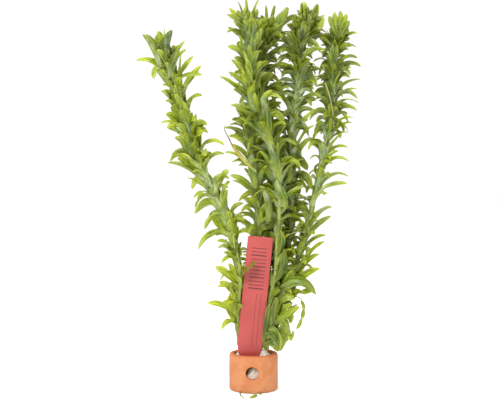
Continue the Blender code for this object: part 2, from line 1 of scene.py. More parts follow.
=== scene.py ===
"""Looks of the potted Brazilian waterweed: fine leaves, clay, wool, label, stage, light and camera.

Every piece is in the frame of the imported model: metres with +Z up, and the origin at the centre of the
ring's underside. Lengths are in millimetres and angles in degrees, and a mesh is scaled when it is made.
The cuttings grow by the same rules and the same seeds as the solids that they replace.
"""

import math
import random

import bmesh
import bpy
import numpy as np
from mathutils import Matrix, Vector, noise
from mathutils.bvhtree import BVHTree


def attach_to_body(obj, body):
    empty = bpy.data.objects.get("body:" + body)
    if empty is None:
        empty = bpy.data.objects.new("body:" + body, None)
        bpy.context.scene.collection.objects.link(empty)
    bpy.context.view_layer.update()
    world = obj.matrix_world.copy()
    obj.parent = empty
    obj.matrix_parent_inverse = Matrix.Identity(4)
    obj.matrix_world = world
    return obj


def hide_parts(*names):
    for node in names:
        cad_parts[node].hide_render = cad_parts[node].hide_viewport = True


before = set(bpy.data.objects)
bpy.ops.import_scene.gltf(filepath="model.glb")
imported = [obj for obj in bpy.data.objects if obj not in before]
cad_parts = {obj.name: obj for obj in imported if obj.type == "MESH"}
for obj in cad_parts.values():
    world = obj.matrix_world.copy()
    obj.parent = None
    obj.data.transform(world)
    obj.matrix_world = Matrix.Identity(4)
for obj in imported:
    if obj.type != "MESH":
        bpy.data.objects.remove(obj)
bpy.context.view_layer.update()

MM = 0.001
GAP = 0.4

# Clay ring
RING_RADIUS = 14.8
RING_HEIGHT = 22.2
RING_WALL = 3.2
RING_EDGE = 1.7
RING_LIP = 0.9
BORE_RADIUS = RING_RADIUS - RING_WALL
HOLE_RADIUS = 3.8
HOLE_X = -0.8
HOLE_HEIGHT = 12.0
RING_TURN = 128
HOLE_TURN = 48
RING_VOXEL = 0.36
DENT_BROAD = 0.22
DENT_SMALL = 0.10
DENT_PLACE = Vector((3, 1, 7))
RIM_SAG = 0.35

# Mineral wool. The pad is the middle and half sizes of the wool that bulges over the label's point, behind
# the side hole. A lump is its middle x and y, its half sizes along them, and its height
WOOL_TOP = 21.2
WOOL_VOXEL = 0.42
WOOL_PAD = ((-0.5, -8.4, 10.6), (3.3, 2.0, 3.8))
WOOL_LUMPS = ((6.4, -4.6, 2.6, 2.6, 3.0), (-9, -3, 2.2, 3.5, 2.0))

# Stick label: its faces are drawn in by soft over a depth of bevel, and it has plain bars across its upper
# part and two lines along its lower one
LABEL_LENGTH = 82.2
LABEL_WIDTH = 15.0
LABEL_THICK = 0.6
LABEL_POINT = ((0.4, 0.0), (2.6, 4.2), (6.6, 11.8), (7.5, 16.6))
LABEL_CORNER = 1.0
LABEL_LEAN = 5.6
LABEL_TIP = (-3.8, -5.4, 10.8)
LABEL_FORWARD = 1.7
LABEL_SOFT = 0.18
LABEL_BEVEL = 0.14
BARS_ACROSS = (-4.4, 4.6)
BARS_FOOT = LABEL_LENGTH - 31.5
BAR_STEP = 2.2
BAR_COUNT = 12
BAR_HEIGHTS = (0.75, 0.45, 0.45)
LINES_ACROSS = (0.9, 3.6)
LINE_WIDTH = 0.22
LINE_FOOT = 16
LINE_LENGTH = 32
VIEW_CORRIDOR = 24.0

# Cuttings. Below its tip a stem keeps its tip's radius for a little, and then thickens to its full one
STEM_RADIUS = 1.3
STEM_TIP_RADIUS = 0.8
STEM_THIN = 2
STEM_THICKENING = 40
STEM_END = 4.0
NODE_HEIGHT = 1.2
SLOTS = 5
TIP_ZONE = 13.0
TIP_SPACINGS = (4.4, 3.6, 2.8)
BUD = 2.0
LEAF_ROOT = 0.9
LEAF_ROLL = (18, 58)
SHOWN_ROLL = 48
SHOWN_WIDTH = 0.95
SHOWN_REACH = 9
TURN_COST = 6
ROLL_END = 0.4
LEAF_EDGE = 0.15
LEAF_KEEL = 0.3
CLEARANCE = 0.2
LOWEST_LEAF = 1.5
LEAF_FAR = 26
BARE_WIDTH = 40
USUAL_SHARE = 0.94
LEAN_CHANGES = (0, -9, 9, -18, 16, 26)

# How far the leaves lean from the stem and how much they arch, by their distance below the stem's tip, and
# the share of it that is left at the front and back, because the bunch was pressed flat
SPREAD = ((0, 16, 4), (4, 32, 12), (13, 38, 20), (30, 42, 30), (60, 48, 38), (110, 52, 40), (230, 48, 30))
PRESSED = 0.5
FIRM_ZONE = 50
LIMP = 36

# Each cutting's route, as points from its cut end to its tip, the height where its leaves start, and the
# spacing of its whorls at the foot and below the tip. Leaf is the usual length and width of its leaves, and
# habit how much they lean and arch. Sparse stretches, between two heights, keep only that share of their
# leaves. A shown leaf is (height of its whorl, tip x, y, z, arch, width), and one that has to go round
# something also has a point that it bends by.
STEMS = {
    "stem_left": {
        "seed": 11,
        "route": (
            (-5.4, -0.8, 4), (-6, -1.2, 23), (-9, -3.6, 42), (-8.8, -6.4, 57), (-8, -7.6, 66),
            (-8.8, -7.4, 75), (-10.8, -6.8, 86), (-14, -6.4, 98), (-20.5, -6, 112), (-29, -6, 130),
            (-34, -6, 144), (-40, -6.4, 160), (-45, -7, 179), (-49.6, -8, 193), (-53, -9, 204),
        ),
        "first": 33,
        "spacing": (8.0, 9.0),
        "leaf": (19.5, 4.8),
        "habit": (0.52, 0.4),
        "sparse": ((64, 128, 0.55), (192, 220, 0.4)),
        "shown": (
            (194, -64.1, -9, 211.5, 12, 4.8), (197, -49, -12, 213.3, 6, 4.6), (199, -52.6, -7, 216, 4, 2.6),
            (195, -40.4, -5, 208.4, 18, 2.8), (192, -42.2, -9, 205.6, 16, 3.6),
            (190, -39.2, -12, 202.4, 12, 4.2), (187, -35.4, -8, 199.1, 8, 4.4),
            (180, -31, -7, 193.6, 8, 4.4), (178, -30, -13, 187.3, 30, 4.2),
            (187, -69.1, -10, 196.1, 30, 4.6), (187, -58.3, -13, 185.1, 62, 4.0),
            (170, -30.1, -12, 175.7, 30, 3.4), (150, -54.5, -12, 159.4, 26, 4.4),
            (150, -28.9, -10, 160.6, 6, 4.8), (140, -17.2, -9, 146.5, 55, 3.6),
            (130, -17.2, -10, 141.4, 36, 4.0), (124, -50.8, -10, 136.2, 6, 4.0),
            (112, -35.2, -14, 115.5, 55, 3.8), (96, -32.5, -12, 85.1, 42, 4.2),
            (88, -21.5, -12, 90, 20, 3.6), (76, -17.4, -13, 83.5, 10, 4.0), (62, -22.6, -12, 74.8, 10, 5.6),
            (60, -21.5, -6, 62.4, 20, 3.8), (46, -27.4, -8, 52.8, 12, 4.2), (38, -18.9, -12, 37.7, 55, 3.8),
            (66, 1.8, -12.8, 78.2, 0, 4.2, (-7.6, -14, 69)),
        ),
    },
    "stem_low": {
        "seed": 23,
        "route": (
            (-1.6, -2, 4), (-1.8, -2.2, 23), (1, -1.2, 54), (3, -3, 90), (3, -7, 122), (-0.5, -10, 144),
            (-4, -12, 163),
        ),
        "first": 36,
        "spacing": (9.0, 9.0),
        "leaf": (19, 4.0),
        "shown": (
            (131, -13.1, -16, 146.9, 14, 4.4), (146, -17.2, -14, 156.7, 24, 2.4),
            (128, -17, -14, 142.3, 28, 3.8), (112, -12.5, -12, 126, 18, 4.0),
        ),
    },
    "stem_front": {
        "seed": 35,
        "route": (
            (3, -2.2, 4), (3.6, -2.4, 23), (9.6, -4, 54), (13, -6, 70), (14.2, -8, 91), (15, -11, 108),
            (14.6, -14, 124), (10.5, -16, 145), (5, -17, 159), (-0.5, -17, 173), (-2.2, -17, 190),
            (-2.4, -18, 206), (-3.6, -19, 216),
        ),
        "first": 33,
        "spacing": (9.0, 8.6),
        "leaf": (19.5, 4.2),
        "habit": (0.68, 0.6),
        "shown": (
            (172, -19.8, -19, 186.1, 8, 4.2), (168, -19.3, -22, 176.5, 40, 4.4),
            (176, -14.5, -16, 189, 4, 3.8), (212, -15.4, -20, 221.5, 14, 3.8),
            (210, -14.2, -16, 226, 6, 3.6), (212, -9, -22, 229, 2, 3.6), (206, -15.4, -22, 211, 20, 4.2),
            (196, -15, -22, 203, 14, 4.2), (217, -4.5, -19, 232.2, 0, 2.6), (215, 3.2, -22, 230.5, 4, 3.6),
        ),
    },
    "stem_tall": {
        "seed": 47,
        "route": (
            (-0.4, 3.8, 4), (-0.2, 3.6, 23), (5, 8, 54), (10, 9, 90), (12, 8, 125), (9, 6, 148),
            (5.5, 4, 170), (3.6, 3, 190), (6, 1, 204), (8.8, 0, 215),
        ),
        "first": 36,
        "spacing": (9.5, 8.6),
        "leaf": (21, 3.9),
        "habit": (1.1, 1.7),
        "shown": (
            (216, 12.7, -2, 230.1, 2, 3.4), (214, 7.4, 4, 231, 4, 3.0), (206, 21.3, -2, 228, 8, 4.4),
            (208, 26.4, 4, 225, 10, 4.2), (200, 24, -3, 214, 12, 4.6), (192, 23, -3, 205, 20, 4.4),
            (184, 22, -6, 193, 34, 4.6), (174, 21, -6, 180, 40, 4.4),
        ),
    },
    "stem_centre": {
        "seed": 59,
        "route": (
            (3.6, 3, 4), (4.2, 2.8, 23), (13, 3, 54), (20.4, 1, 88), (23, -2, 110), (23, -4, 140),
            (23.4, -5, 160), (26.4, -5, 180), (27, -5, 200), (28.4, -5, 209), (30, -5, 217.5),
        ),
        "first": 33,
        "spacing": (9.0, 9.0),
        "leaf": (20.5, 3.8),
        "habit": (1.1, 1.7),
        "shown": (
            (214, 28.1, -7, 230.4, 2, 4.2), (212, 37.6, -6, 229.2, 4, 4.2), (212, 42.7, -4, 223.3, 14, 3.6),
            (205, 41, -7, 216, 12, 4.4), (170, 40, -10, 175, 40, 3.4), (150, 37, -8, 168, 10, 4.0),
            (146, 36, -12, 158, 14, 4.4),
        ),
    },
    "stem_right": {
        "seed": 71,
        "route": (
            (6.6, 0.2, 4), (7.6, 0.4, 23), (13.6, 0, 40), (19.4, -1, 52), (23.4, -2, 63), (27, -3, 80),
            (31.6, -4, 97), (35.6, -4, 113), (39.4, -3, 130), (42.6, -1, 146), (46.4, 1, 163), (48, 3, 180),
            (48.4, 4, 198), (50.6, 4, 213),
        ),
        "first": 31,
        "spacing": (7.6, 8.6),
        "leaf": (18.5, 3.5),
        "habit": (1.1, 1.7),
        "sparse": ((20, 60, 0.3), (66, 150, 0.75)),
        "shown": (
            (213, 51.9, 4, 227.5, 2, 3.4), (212, 56.4, 2, 224, 6, 3.6), (212, 46, 2, 224, 6, 3.6),
            (206, 62.6, 4, 213.9, 22, 3.2), (200, 61.4, 2, 205.5, 40, 3.6), (190, 62.6, 4, 199, 40, 3.4),
            (184, 58.4, 0, 193, 44, 3.6), (174, 64.5, 4, 186.5, 34, 2.8), (170, 62.4, 0, 180.5, 50, 3.6),
            (163, 63.3, 2, 172, 52, 3.4), (160, 58, -2, 170, 34, 3.4), (152, 60.4, 0, 163.3, 40, 3.2),
            (148, 58.8, -4, 160, 20, 4.0), (146, 57.2, 0, 154.5, 44, 3.8), (140, 52, -6, 153.5, 8, 4.2),
            (136, 57, 2, 145.5, 44, 3.0), (130, 57.2, -2, 137, 52, 3.4), (120, 57.2, 0, 127.8, 40, 2.8),
            (116, 55.8, -4, 124, 20, 3.6), (97, 46.7, -6, 110, 22, 4.4), (92, 46.6, -2, 104.5, 22, 4.2),
            (84, 43.3, -2, 93, 30, 2.8), (80, 42.4, -6, 89.5, 12, 4.2), (72, 39.4, -5, 82, 20, 4.6),
            (62, 39.8, -4, 73, 24, 5.2), (54, 36.8, -8, 59, 40, 6.4), (44, 27.1, -8, 51.8, 10, 4.6),
            (38, 21.5, -12, 44.5, 20, 6.0), (34, 19.4, -9, 30, 62, 7.0),
        ),
    },
}

# The stretches of stem that show bare at the front, between two heights
BARE_FRONT = {
    "stem_left": ((60, 78), (92, 118)),
    "stem_low": ((110, 128),),
    "stem_front": ((56, 76), (90, 108), (117, 127), (138, 152)),
    "stem_centre": ((152, 166),),
}

# Fine leaves and stems. A leaf wider than broad is wavier, and the feet of leaves are pale, and paler with
# a whitish painted sheen from the lower to the higher of the two sheen heights. A pointed leaf tapers from
# the first share of its length, and a blunt or crumpled one from the second. Streaks are stretched by other
# amounts across a leaf, along it and from one to the next
BLADE_STATIONS = 11
BLADE_ACROSS = 5
BLADE_THICK = 0.24
BROAD = 5.8
STATION_EASE = 1.35
TAPERS = (0.53, 0.66)
RIB_GROOVE = 0.04
RIB_KEEL = 0.10
RIB_WIDTH = 0.2
SHEEN_HEIGHTS = (80, 130)
LEAF_STRETCH = (8.0, 4.0, 40.0)
CREASE = 70
STEM_SIDES = 12
STEM_STEP = 1.6
STEM_FINENESS = 0.92
NODE_SWELL = 0.14
NODE_REACH = 1.1
NODE_GREEN = 0.75
BUD_TIP = 0.6
THREAD_SIDES = 6
SURFACE_GAP = 0.1

# Seeds of the loose pieces, and what is added to a cutting's own seed for each thing that is drawn for it
SEEDS = {"trailing_bits": 8, "loose_leaves": 4, "arching_leaves": 14, "dying_leaf": 5, "hanging_sprig": 21}
TONE_SEED = 500
BLADE_SEED = 700
FILL_SEED = 900
CROWN_SEED = 1200

# Filling leaves. Crowded says how far below its tip a cutting is crowded, and the leaf places that it has
# there between two whorls. Length, width and lean are those of the leaves that fill it, against the grown
# ones, and about half of them lean by spread instead
FILL_ZONE = 100
FILL_HIGH = 0.95
FILL_LOW = 0.7
FILL_PRESSED = 0.3
CROWDED = {
    "stem_left": {"reach": 130, "places": 2, "length": 1.0, "width": 1.3, "lean": 0.7, "spread": 0.9},
    "stem_low": {"reach": 60, "places": 2, "length": 1.1, "width": 1.0, "lean": 0.8, "spread": 1.1},
    "stem_front": {"reach": 90, "places": 2, "length": 1.1, "width": 1.05, "lean": 0.7, "spread": 1.1},
    "stem_tall": {"reach": 140, "places": 3, "length": 1.4, "width": 1.12, "lean": 0.85, "spread": 1.3},
    "stem_centre": {"reach": 150, "places": 3, "length": 1.4, "width": 1.2, "lean": 0.75, "spread": 1.3},
    "stem_right": {"reach": 62, "places": 3, "length": 1.15, "width": 1.25, "lean": 0.7, "spread": 1.1},
}

# The stretches of stem, between two heights, that no filling leaf covers within an angle from the front
OPEN_WIDTH = 62
OPEN_FRONT = {
    "stem_left": ((92, 120), (54, 78)),
    "stem_front": ((84, 128), (50, 76)),
    "stem_centre": ((96, 176),),
    "stem_right": ((66, 120),),
}

# The short blunt leaves that crowd a tip: how many, and their length and width
CROWNS = {
    "stem_front": (18, 13.0, 4.4),
    "stem_tall": (16, 14.0, 4.6),
    "stem_centre": (12, 14.0, 4.8),
    "stem_right": (22, 9.6, 3.2),
}
CROWN_DEPTH = (1.6, 10.0)
CROWN_LEAN = (6, 62)
CROWN_TURN = 2.4
CROWN_SHORTER = 0.78
CROWN_TIPS = 223
SLIM_TIPS = 228.5

# Painted shade: how much darker a leaf is where others crowd round it, by how many are near
CROWD_REACH = 13
CROWD_COUNTS = (14, 60)
CROWD_LIFT = 0.14
CROWD_PAINTED_SHADE = 0.36

# The four points of the curve, the width and the tone of each leaf that lies across the others, and how
# crumpled it is where it is: three at the left tip, the straps that hang before the middle, and the broad
# limp ones at the foot
LOOSE_LEAVES = (
    ((-51, -11, 196), (-52.4, -15, 202), (-51.4, -16.4, 209), (-47.4, -15, 213.6), 4.8, 0.1, 1, "slate"),
    ((-54, -11, 192), (-56, -15, 201), (-59.6, -15.4, 208), (-65, -12, 211.4), 4.4, 0.16),
    ((-50, -11, 186), (-48.6, -15, 192), (-46.4, -15.6, 197), (-43.4, -14, 203), 4.4, 0.12),
    ((8.7, -19, 151), (11, -23, 144), (14, -24.5, 135), (15.3, -23, 125), 4.6, 0.3),
    ((5.1, -21, 174), (7.5, -25, 167), (8.7, -25.5, 159), (8.7, -24, 151), 4.4, 0.22),
    ((13.5, -17, 126), (16, -21, 120), (18.3, -22, 115), (18.3, -20.5, 109), 4.8, 0.34),
    ((18.3, -10, 144), (21.3, -14, 138), (22.5, -15.5, 131), (20.7, -15, 124), 3.6, 0.1),
    ((-0.9, -14, 144), (-2.1, -18.6, 137), (-0.9, -20, 128.4), (1.5, -18.6, 121), 4.2, 0.28),
    ((5.7, -14, 122), (8.7, -18, 116), (9.9, -19, 109), (7.5, -18, 102), 4.2, 0.2),
    ((8.6, -6, 36), (11.6, -12, 41.6), (17, -14, 38), (15.6, -13.6, 25), 6.8, 0.34, 2.8),
    ((14.4, -9, 31), (16.8, -11, 36), (18.8, -11.4, 35), (18.6, -11.2, 28.4), 4.4, 0.7, 1.6),
    ((8, -7, 28), (10, -13, 32), (13.4, -14.6, 33), (14.4, -14.4, 25), 6.4, 0.25, 1.6),
    ((7, -6, 32), (9, -12, 36), (12, -14, 38), (13, -14, 31), 6.0, 0.1, 1.6),
    ((15, -5, 60), (20, -10.6, 68), (32, -11.4, 70.4), (37, -11.2, 58), 6.4, 0.3, 1.6),
    ((10, -4, 44), (15, -10, 46.4), (20, -12, 43), (20.4, -12, 35.4), 6.4, 0.6, 1.2),
    ((9, -6, 38), (14, -11, 43.4), (20, -12.6, 48), (27, -12, 51.6), 4.4, 0.6),
    ((12, -4, 50), (16, -9, 57), (21, -10.4, 58.4), (24.6, -10, 55.6), 4.6, 0.7),
    ((15, -2, 42), (19, -6, 47), (23.4, -8, 48), (22, -8.6, 40.6), 4.6, 0.7),
    ((6.6, -5, 25.6), (7, -9.4, 34), (8.4, -10.6, 44), (9.6, -10, 53), 4.6, 0.0, 1.2),
    ((8.4, -6, 27), (10.4, -10, 36), (12, -10.6, 47), (14, -10, 57), 4.8, 0.05, 1.2),
    ((11, -3, 34), (13, -7, 42), (15, -8, 52), (18.6, -8, 60), 5.2, 0.0, 1.2),
    ((13, -7, 72.4), (16, -10, 74), (22, -10, 75), (28.4, -9, 74.6), 2.6, 0.0),
    ((14, -8, 82), (16.6, -12.4, 86), (17.6, -13, 92), (15.4, -13.4, 97), 4.4, 0.3),
    ((13.4, -7, 66), (17, -12, 72), (19, -12.6, 78), (18, -12.6, 86), 4.6, 0.1),
    ((17, 2, 60), (17.6, -6, 65), (20, -9, 71), (25, -7, 75), 7.6, 0.5),
    ((-8.4, 1.6, 26), (-8, 1, 34), (-7.4, 1, 42), (-6, 1.4, 50), 5.4, 0.0, 1.4),
    ((-8, 1, 38), (-7.6, 0, 46), (-6.6, 0, 55), (-5, 1, 62), 5.4, 0.05, 1.4),
    ((-9.6, -1, 34), (-9.8, -3, 40), (-8.4, -4, 46), (-7.4, -3, 54), 4.6, 0.3, 1.4),
)

# The foot, end, width and tone of the broad blunt leaves that stand in front at the tips
TIP_CRUMPLE = 1.1
TIP_BOW = (0, -2, 1)
TIP_LEAVES = (
    ((11.0, -2, 206), (20.2, -7.0, 228.0), 4.4, 0.3),
    ((31.0, 1, 208), (29.4, -5.5, 231.4), 5.4, 0.7),
    ((32.0, 1, 208), (37.8, -5.5, 230.2), 5.0, 0.02),
    ((33.0, 0, 206), (41.4, -6.0, 222.2), 5.0, 0.8),
    ((30.0, 1, 207), (24.6, -5.0, 223.6), 4.2, 0.1),
    ((50.2, 3, 210), (44.6, -2.4, 223.4), 3.4, 0.5),
    ((50.4, 3, 211), (47.9, -2.0, 226.0), 3.4, 0.6),
    ((50.6, 4, 211), (52.0, -1.8, 226.4), 3.4, 0.55),
    ((50.8, 3, 210), (55.4, -2.4, 224.6), 3.4, 0.6),
    ((50.8, 2, 208), (56.8, -3.0, 220.6), 3.4, 0.3),
)

# The thin leaves that arch across the gaps between the upper cuttings: the cutting, the side that they
# reach to, their reach, the lowest and highest foot, and how many
ARCHING = (
    ("stem_tall", 1, 11, 178, 206, 6),
    ("stem_centre", -1, 12, 174, 207, 8),
    ("stem_centre", 1, 10, 170, 205, 8),
    ("stem_right", -1, 9, 172, 205, 7),
)

# The scraps of leaf below the ring, the leaves of the hanging side shoot as (foot, end, width), the routes
# of what hangs and trails, and the routes and radii of the pale roots
LEAF_SCRAPS = (
    ((1.4, -18.4, 0.7), (0.8, -20.4, 1), (-0.6, -23.6, 0.9), (-2, -26.6, 0.5), 2.8, 1),
    ((3.2, -13.8, 0.6), (3.8, -15.4, 0.7), (4.3, -17, 0.6), (4.7, -18, 0.4), 1, 0.4),
)
TRAIL = ((-8.1, -12.2, 0.9), (-7.8, -18, 0.4), (-6.2, -24, 0.4), (-4.4, -27, 0.4))
DYING_LEAF = ((1.6, -18.6, 131), (-3, -20.6, 135.4), (-8, -21, 140.4), (-12.8, -20.4, 147))
DYING_TIP = ((-12.2, -20.6, 146), (-14.6, -20.4, 151), (-16.8, -20, 155.4), (-16.4, -19.6, 158))
SPRIG = ((22, -6, 57), (27, -8, 56.5), (29.6, -8, 52), (29.4, -8, 46), (26.6, -8, 40), (23.4, -8, 36))
SPRIG_BOW = (0.5, -0.5, 0)
SPRIG_LEAVES = (
    ((28.6, -8.4, 54.6), (29.9, -8.8, 48.6), 2.2),
    ((29.6, -8.4, 49), (28.2, -8.8, 43.4), 2.6),
    ((28.4, -8.4, 43.6), (25.6, -8.8, 37.6), 2.4),
    ((23.6, -8.2, 36.2), (21.6, -8.6, 30.4), 2.0),
)
ROOTS = (
    (((42.6, -3.4, 184), (44.4, -5, 178), (46.4, -5.4, 170), (47.4, -5, 162), (47.6, -4, 156)), 0.36),
    (((30.4, -6.4, 95), (26, -8.6, 95.4), (21.6, -9.4, 94), (17.2, -9.4, 90.4)), 0.32),
)

# Stage: the lights are (name, place, size, power) in metres and watts
FLOOR_SIDE = 8000
WORLD_LIGHT = 1.05
LIGHT_AIM = Vector((0, 0, 0.11))
LIGHTS = (
    ("key", (-0.38, -0.85, 0.7), 0.32, 11.0),
    ("fill", (0.7, -0.6, 0.35), 0.5, 1.5),
    ("top", (0.05, 0.15, 0.9), 0.4, 4.0),
)
CAMERA_AIM = Vector((-2.1, 0, 114))
CAMERA_DISTANCE = 600
CAMERA_TILT = math.radians(2)
CAMERA_LENS = 72


def arc(centre, radius, start, end, steps):
    """Points (r, z) along a rounded edge of a profile."""
    angles = [math.radians(start + (end - start) * i / steps) for i in range(steps + 1)]
    return [(centre[0] + radius * math.cos(a), centre[1] + radius * math.sin(a)) for a in angles]


def turned(profile, sides):
    """Points and faces of a closed profile (r, z) turned about Z."""
    count = len(profile)
    turns = [math.tau * i / sides for i in range(sides)]
    points = [(r * math.cos(turn), r * math.sin(turn), z) for turn in turns for r, z in profile]
    faces = []
    for i in range(sides):
        here, there = i * count, (i + 1) % sides * count
        for j in range(count):
            k = (j + 1) % count
            faces.append((here + j, there + j, there + k, here + k))
    return points, faces


def prism(loops):
    """Points and faces of a closed solid through loops of points."""
    count = len(loops[0])
    points = [point for loop in loops for point in loop]
    faces = [tuple(range(count))[::-1], tuple(range(len(points) - count, len(points)))]
    for start in range(0, len(points) - count, count):
        ends = [(start + i, start + (i + 1) % count) for i in range(count)]
        faces += [(i, j, j + count, i + count) for i, j in ends]
    return points, faces


def tube(start, end, radius, sides):
    """Points and faces of a straight round bar."""
    start, end = Vector(start), Vector(end)
    turn = (end - start).to_track_quat("Z", "X").to_matrix()
    turns = [math.tau * i / sides for i in range(sides)]
    edge = [turn @ Vector((radius * math.cos(a), radius * math.sin(a), 0)) for a in turns]
    return prism([[centre + point for point in edge] for centre in (start, end)])


def label_outline(grow):
    """The label's outline as (across, along) points from its tip, widened all round by grow."""
    half = LABEL_WIDTH / 2 + grow
    top = LABEL_LENGTH + grow
    corner = LABEL_CORNER
    right = [(x + grow, y - grow * (1 - y / LABEL_POINT[-1][1])) for x, y in LABEL_POINT]
    right += arc((half - corner, top - corner), corner, 0, 90, 3)
    return right + [(-x, y) for x, y in reversed(right)]


def label_place():
    """The label's frame: across is X, along is Y and its thickness is Z, before it leans."""
    lean = Matrix.Rotation(math.radians(LABEL_LEAN), 4, "Y")
    forward = Matrix.Rotation(math.radians(90 + LABEL_FORWARD), 4, "X")
    return Matrix.Translation(Vector(LABEL_TIP)) @ lean @ forward


def label_slab(grow, back, front):
    """Points and faces of the label's outline between two planes, with front towards the viewer."""
    place = label_place()
    return prism([[place @ Vector((x, y, z)) for x, y in label_outline(grow)] for z in (-back, front)])


def smooth_route(route, steps=10):
    """Closely spaced points of a smooth curve through a route's points, straight in its first stretch."""
    knots = [Vector(p) for p in route]
    line = [knots[0]]
    for i in range(1, len(knots) - 1):
        before, here, there = knots[i - 1], knots[i], knots[i + 1]
        after = knots[min(i + 2, len(knots) - 1)]
        for j in range(steps):
            t = j / steps
            a, b = (there - before) * 0.5, (after - here) * 0.5
            ease = t * t * (3 - 2 * t)
            early, late = t * (1 - t) ** 2, t * t * (1 - t)
            line.append(here * (1 - ease) + there * ease + a * early - b * late)
    line.append(knots[-1])
    return line


def along(line, distance):
    """The point and the direction at a distance along a line of points."""
    for here, there in zip(line, line[1:]):
        step = (there - here).length
        if distance <= step or there is line[-1]:
            return here + (there - here) * (distance / step), (there - here).normalized()
        distance -= step


def length_of(line):
    return sum((b - a).length for a, b in zip(line, line[1:]))


def read_spread(below_tip):
    """The usual lean and arch of leaves at a distance below a stem's tip."""
    for low, high in zip(SPREAD, SPREAD[1:]):
        if below_tip <= high[0]:
            t = (below_tip - low[0]) / (high[0] - low[0])
            return low[1] + (high[1] - low[1]) * t, low[2] + (high[2] - low[2]) * t
    return SPREAD[-1][1:]


def side_directions(axis):
    """Two directions across a stem: towards the viewer, and to the right."""
    viewer = Vector((0, -1, 0))
    viewer = (viewer - axis * viewer.dot(axis)).normalized()
    return viewer, axis.cross(viewer).normalized()


def outward(whorl, yaw):
    viewer, right = side_directions(whorl["axis"])
    return viewer * math.cos(yaw) + right * math.sin(yaw)


def stem_radius(below):
    """A stem's radius at a distance below its tip."""
    share = min(1, max(0, (below - STEM_THIN) / STEM_THICKENING))
    return STEM_TIP_RADIUS + (STEM_RADIUS - STEM_TIP_RADIUS) * share


def make_whorls(spec):
    """The whorls of one cutting: where each sits on the stem, its direction and how it is turned."""
    line = smooth_route(spec["route"])
    length = length_of(line)
    places = []
    reach = length - BUD
    for step in reversed(TIP_SPACINGS):
        places.append(reach)
        reach -= step
    low, high = spec["spacing"]
    start = spec["first"] - STEM_END
    while reach > start:
        places.append(reach)
        reach -= low + (high - low) * (reach - start) / (length - TIP_ZONE - start)
    whorls = []
    for i, place in enumerate(reversed(places)):
        centre, axis = along(line, place)
        below = length - place
        whorls.append({
            "centre": centre,
            "axis": axis,
            "below": below,
            "turn": math.radians(180 / SLOTS * (i % 2)),
            "radius": stem_radius(below),
            "height": NODE_HEIGHT if below > TIP_ZONE else NODE_HEIGHT * 0.6,
            "leaves": [None] * SLOTS,
        })
    return whorls


def bent(axis, out, lean, turn):
    """A direction that leans from the axis by an angle, in the plane of out turned about the axis."""
    side = axis.cross(out)
    level = out * math.cos(turn) + side * math.sin(turn)
    return axis * math.cos(lean) + level * math.sin(lean)


def free_leaf(whorl, yaw, length, width, lean, arch, curl, roll):
    """A leaf as the four points of its curve, its width, its direction across at its root, and its roll."""
    axis, out = whorl["axis"], outward(whorl, yaw)
    points = [whorl["centre"] + out * whorl["radius"] * LEAF_ROOT]
    for i in range(3):
        direction = bent(axis, out, lean + arch * (i - 1), curl * i)
        points.append(points[-1] + direction * length / 3)
    return {"curve": points, "width": width, "across": axis.cross(out), "roll": roll}


def aimed_leaf(whorl, tip, width, arch, by=None):
    """A leaf whose curve ends at a chosen tip, rolled so that it shows its upper face to the viewer."""
    axis = whorl["axis"]
    level = (by or tip) - whorl["centre"]
    level = (level - axis * level.dot(axis)).normalized()
    root = whorl["centre"] + level * whorl["radius"] * LEAF_ROOT
    reach = tip - root
    lean = reach.angle(axis)
    out = (reach - axis * reach.dot(axis)).normalized()
    leg = reach.length / (1 + 2 * math.cos(arch))
    points = [root]
    if by:
        points += [by, by.lerp(tip, 0.5), tip]
    else:
        for i in range(3):
            points.append(points[-1] + bent(axis, out, lean + arch * (i - 1), 0) * leg)
    across = axis.cross(out)
    side = side_directions(axis)[1].dot(out)
    roll = math.radians(SHOWN_ROLL) * side
    return {"curve": points, "width": width, "across": across, "roll": roll}


def curve_at(leaf, t):
    """A point of a leaf's curve, and its direction there."""
    a, b, c, d = leaf["curve"]
    s = 1 - t
    point = a * s**3 + b * (3 * s * s * t) + c * (3 * s * t * t) + d * t**3
    direction = (b - a) * s * s + (c - b) * (2 * s * t) + (d - c) * t * t
    return point, direction.normalized()


def leaf_width(leaf, t):
    """A leaf's width along its length: narrow at the root, full before the middle, and blunt at the tip."""
    rise = 0.45 + 0.55 * min(1, t / 0.4)
    fall = math.sqrt(max(0, 1 - (max(0, t - 0.5) / 0.5) ** 2.2))
    return leaf["width"] * rise * fall


def across_at(leaf, t, direction):
    """The direction across a leaf, which rolls about its length on its way out from the stem."""
    across = (leaf["across"] - direction * leaf["across"].dot(direction)).normalized()
    roll = leaf["roll"] * min(1, t / ROLL_END)
    return across * math.cos(roll) + direction.cross(across) * math.sin(roll)


def section(leaf, t):
    """Three points of a leaf's cross-section, a little enlarged: its two edges and its keel."""
    point, direction = curve_at(leaf, t)
    across = across_at(leaf, t, direction)
    upper = direction.cross(across)
    half = leaf_width(leaf, t) / 2 + CLEARANCE
    edges = [point + across * half * side + upper * (LEAF_EDGE + CLEARANCE) for side in (-1, 1)]
    return edges[0], point - upper * (LEAF_KEEL + CLEARANCE), edges[1]


def sections_of(leaf):
    """Where along a leaf its solid has a cross-section: more where it arches strongly."""
    legs = [b - a for a, b in zip(leaf["curve"], leaf["curve"][1:])]
    bend = legs[0].angle(legs[2])
    return (0.36, 0.76) if bend > math.radians(75) or leaf["width"] > 5.6 else (0.6,)


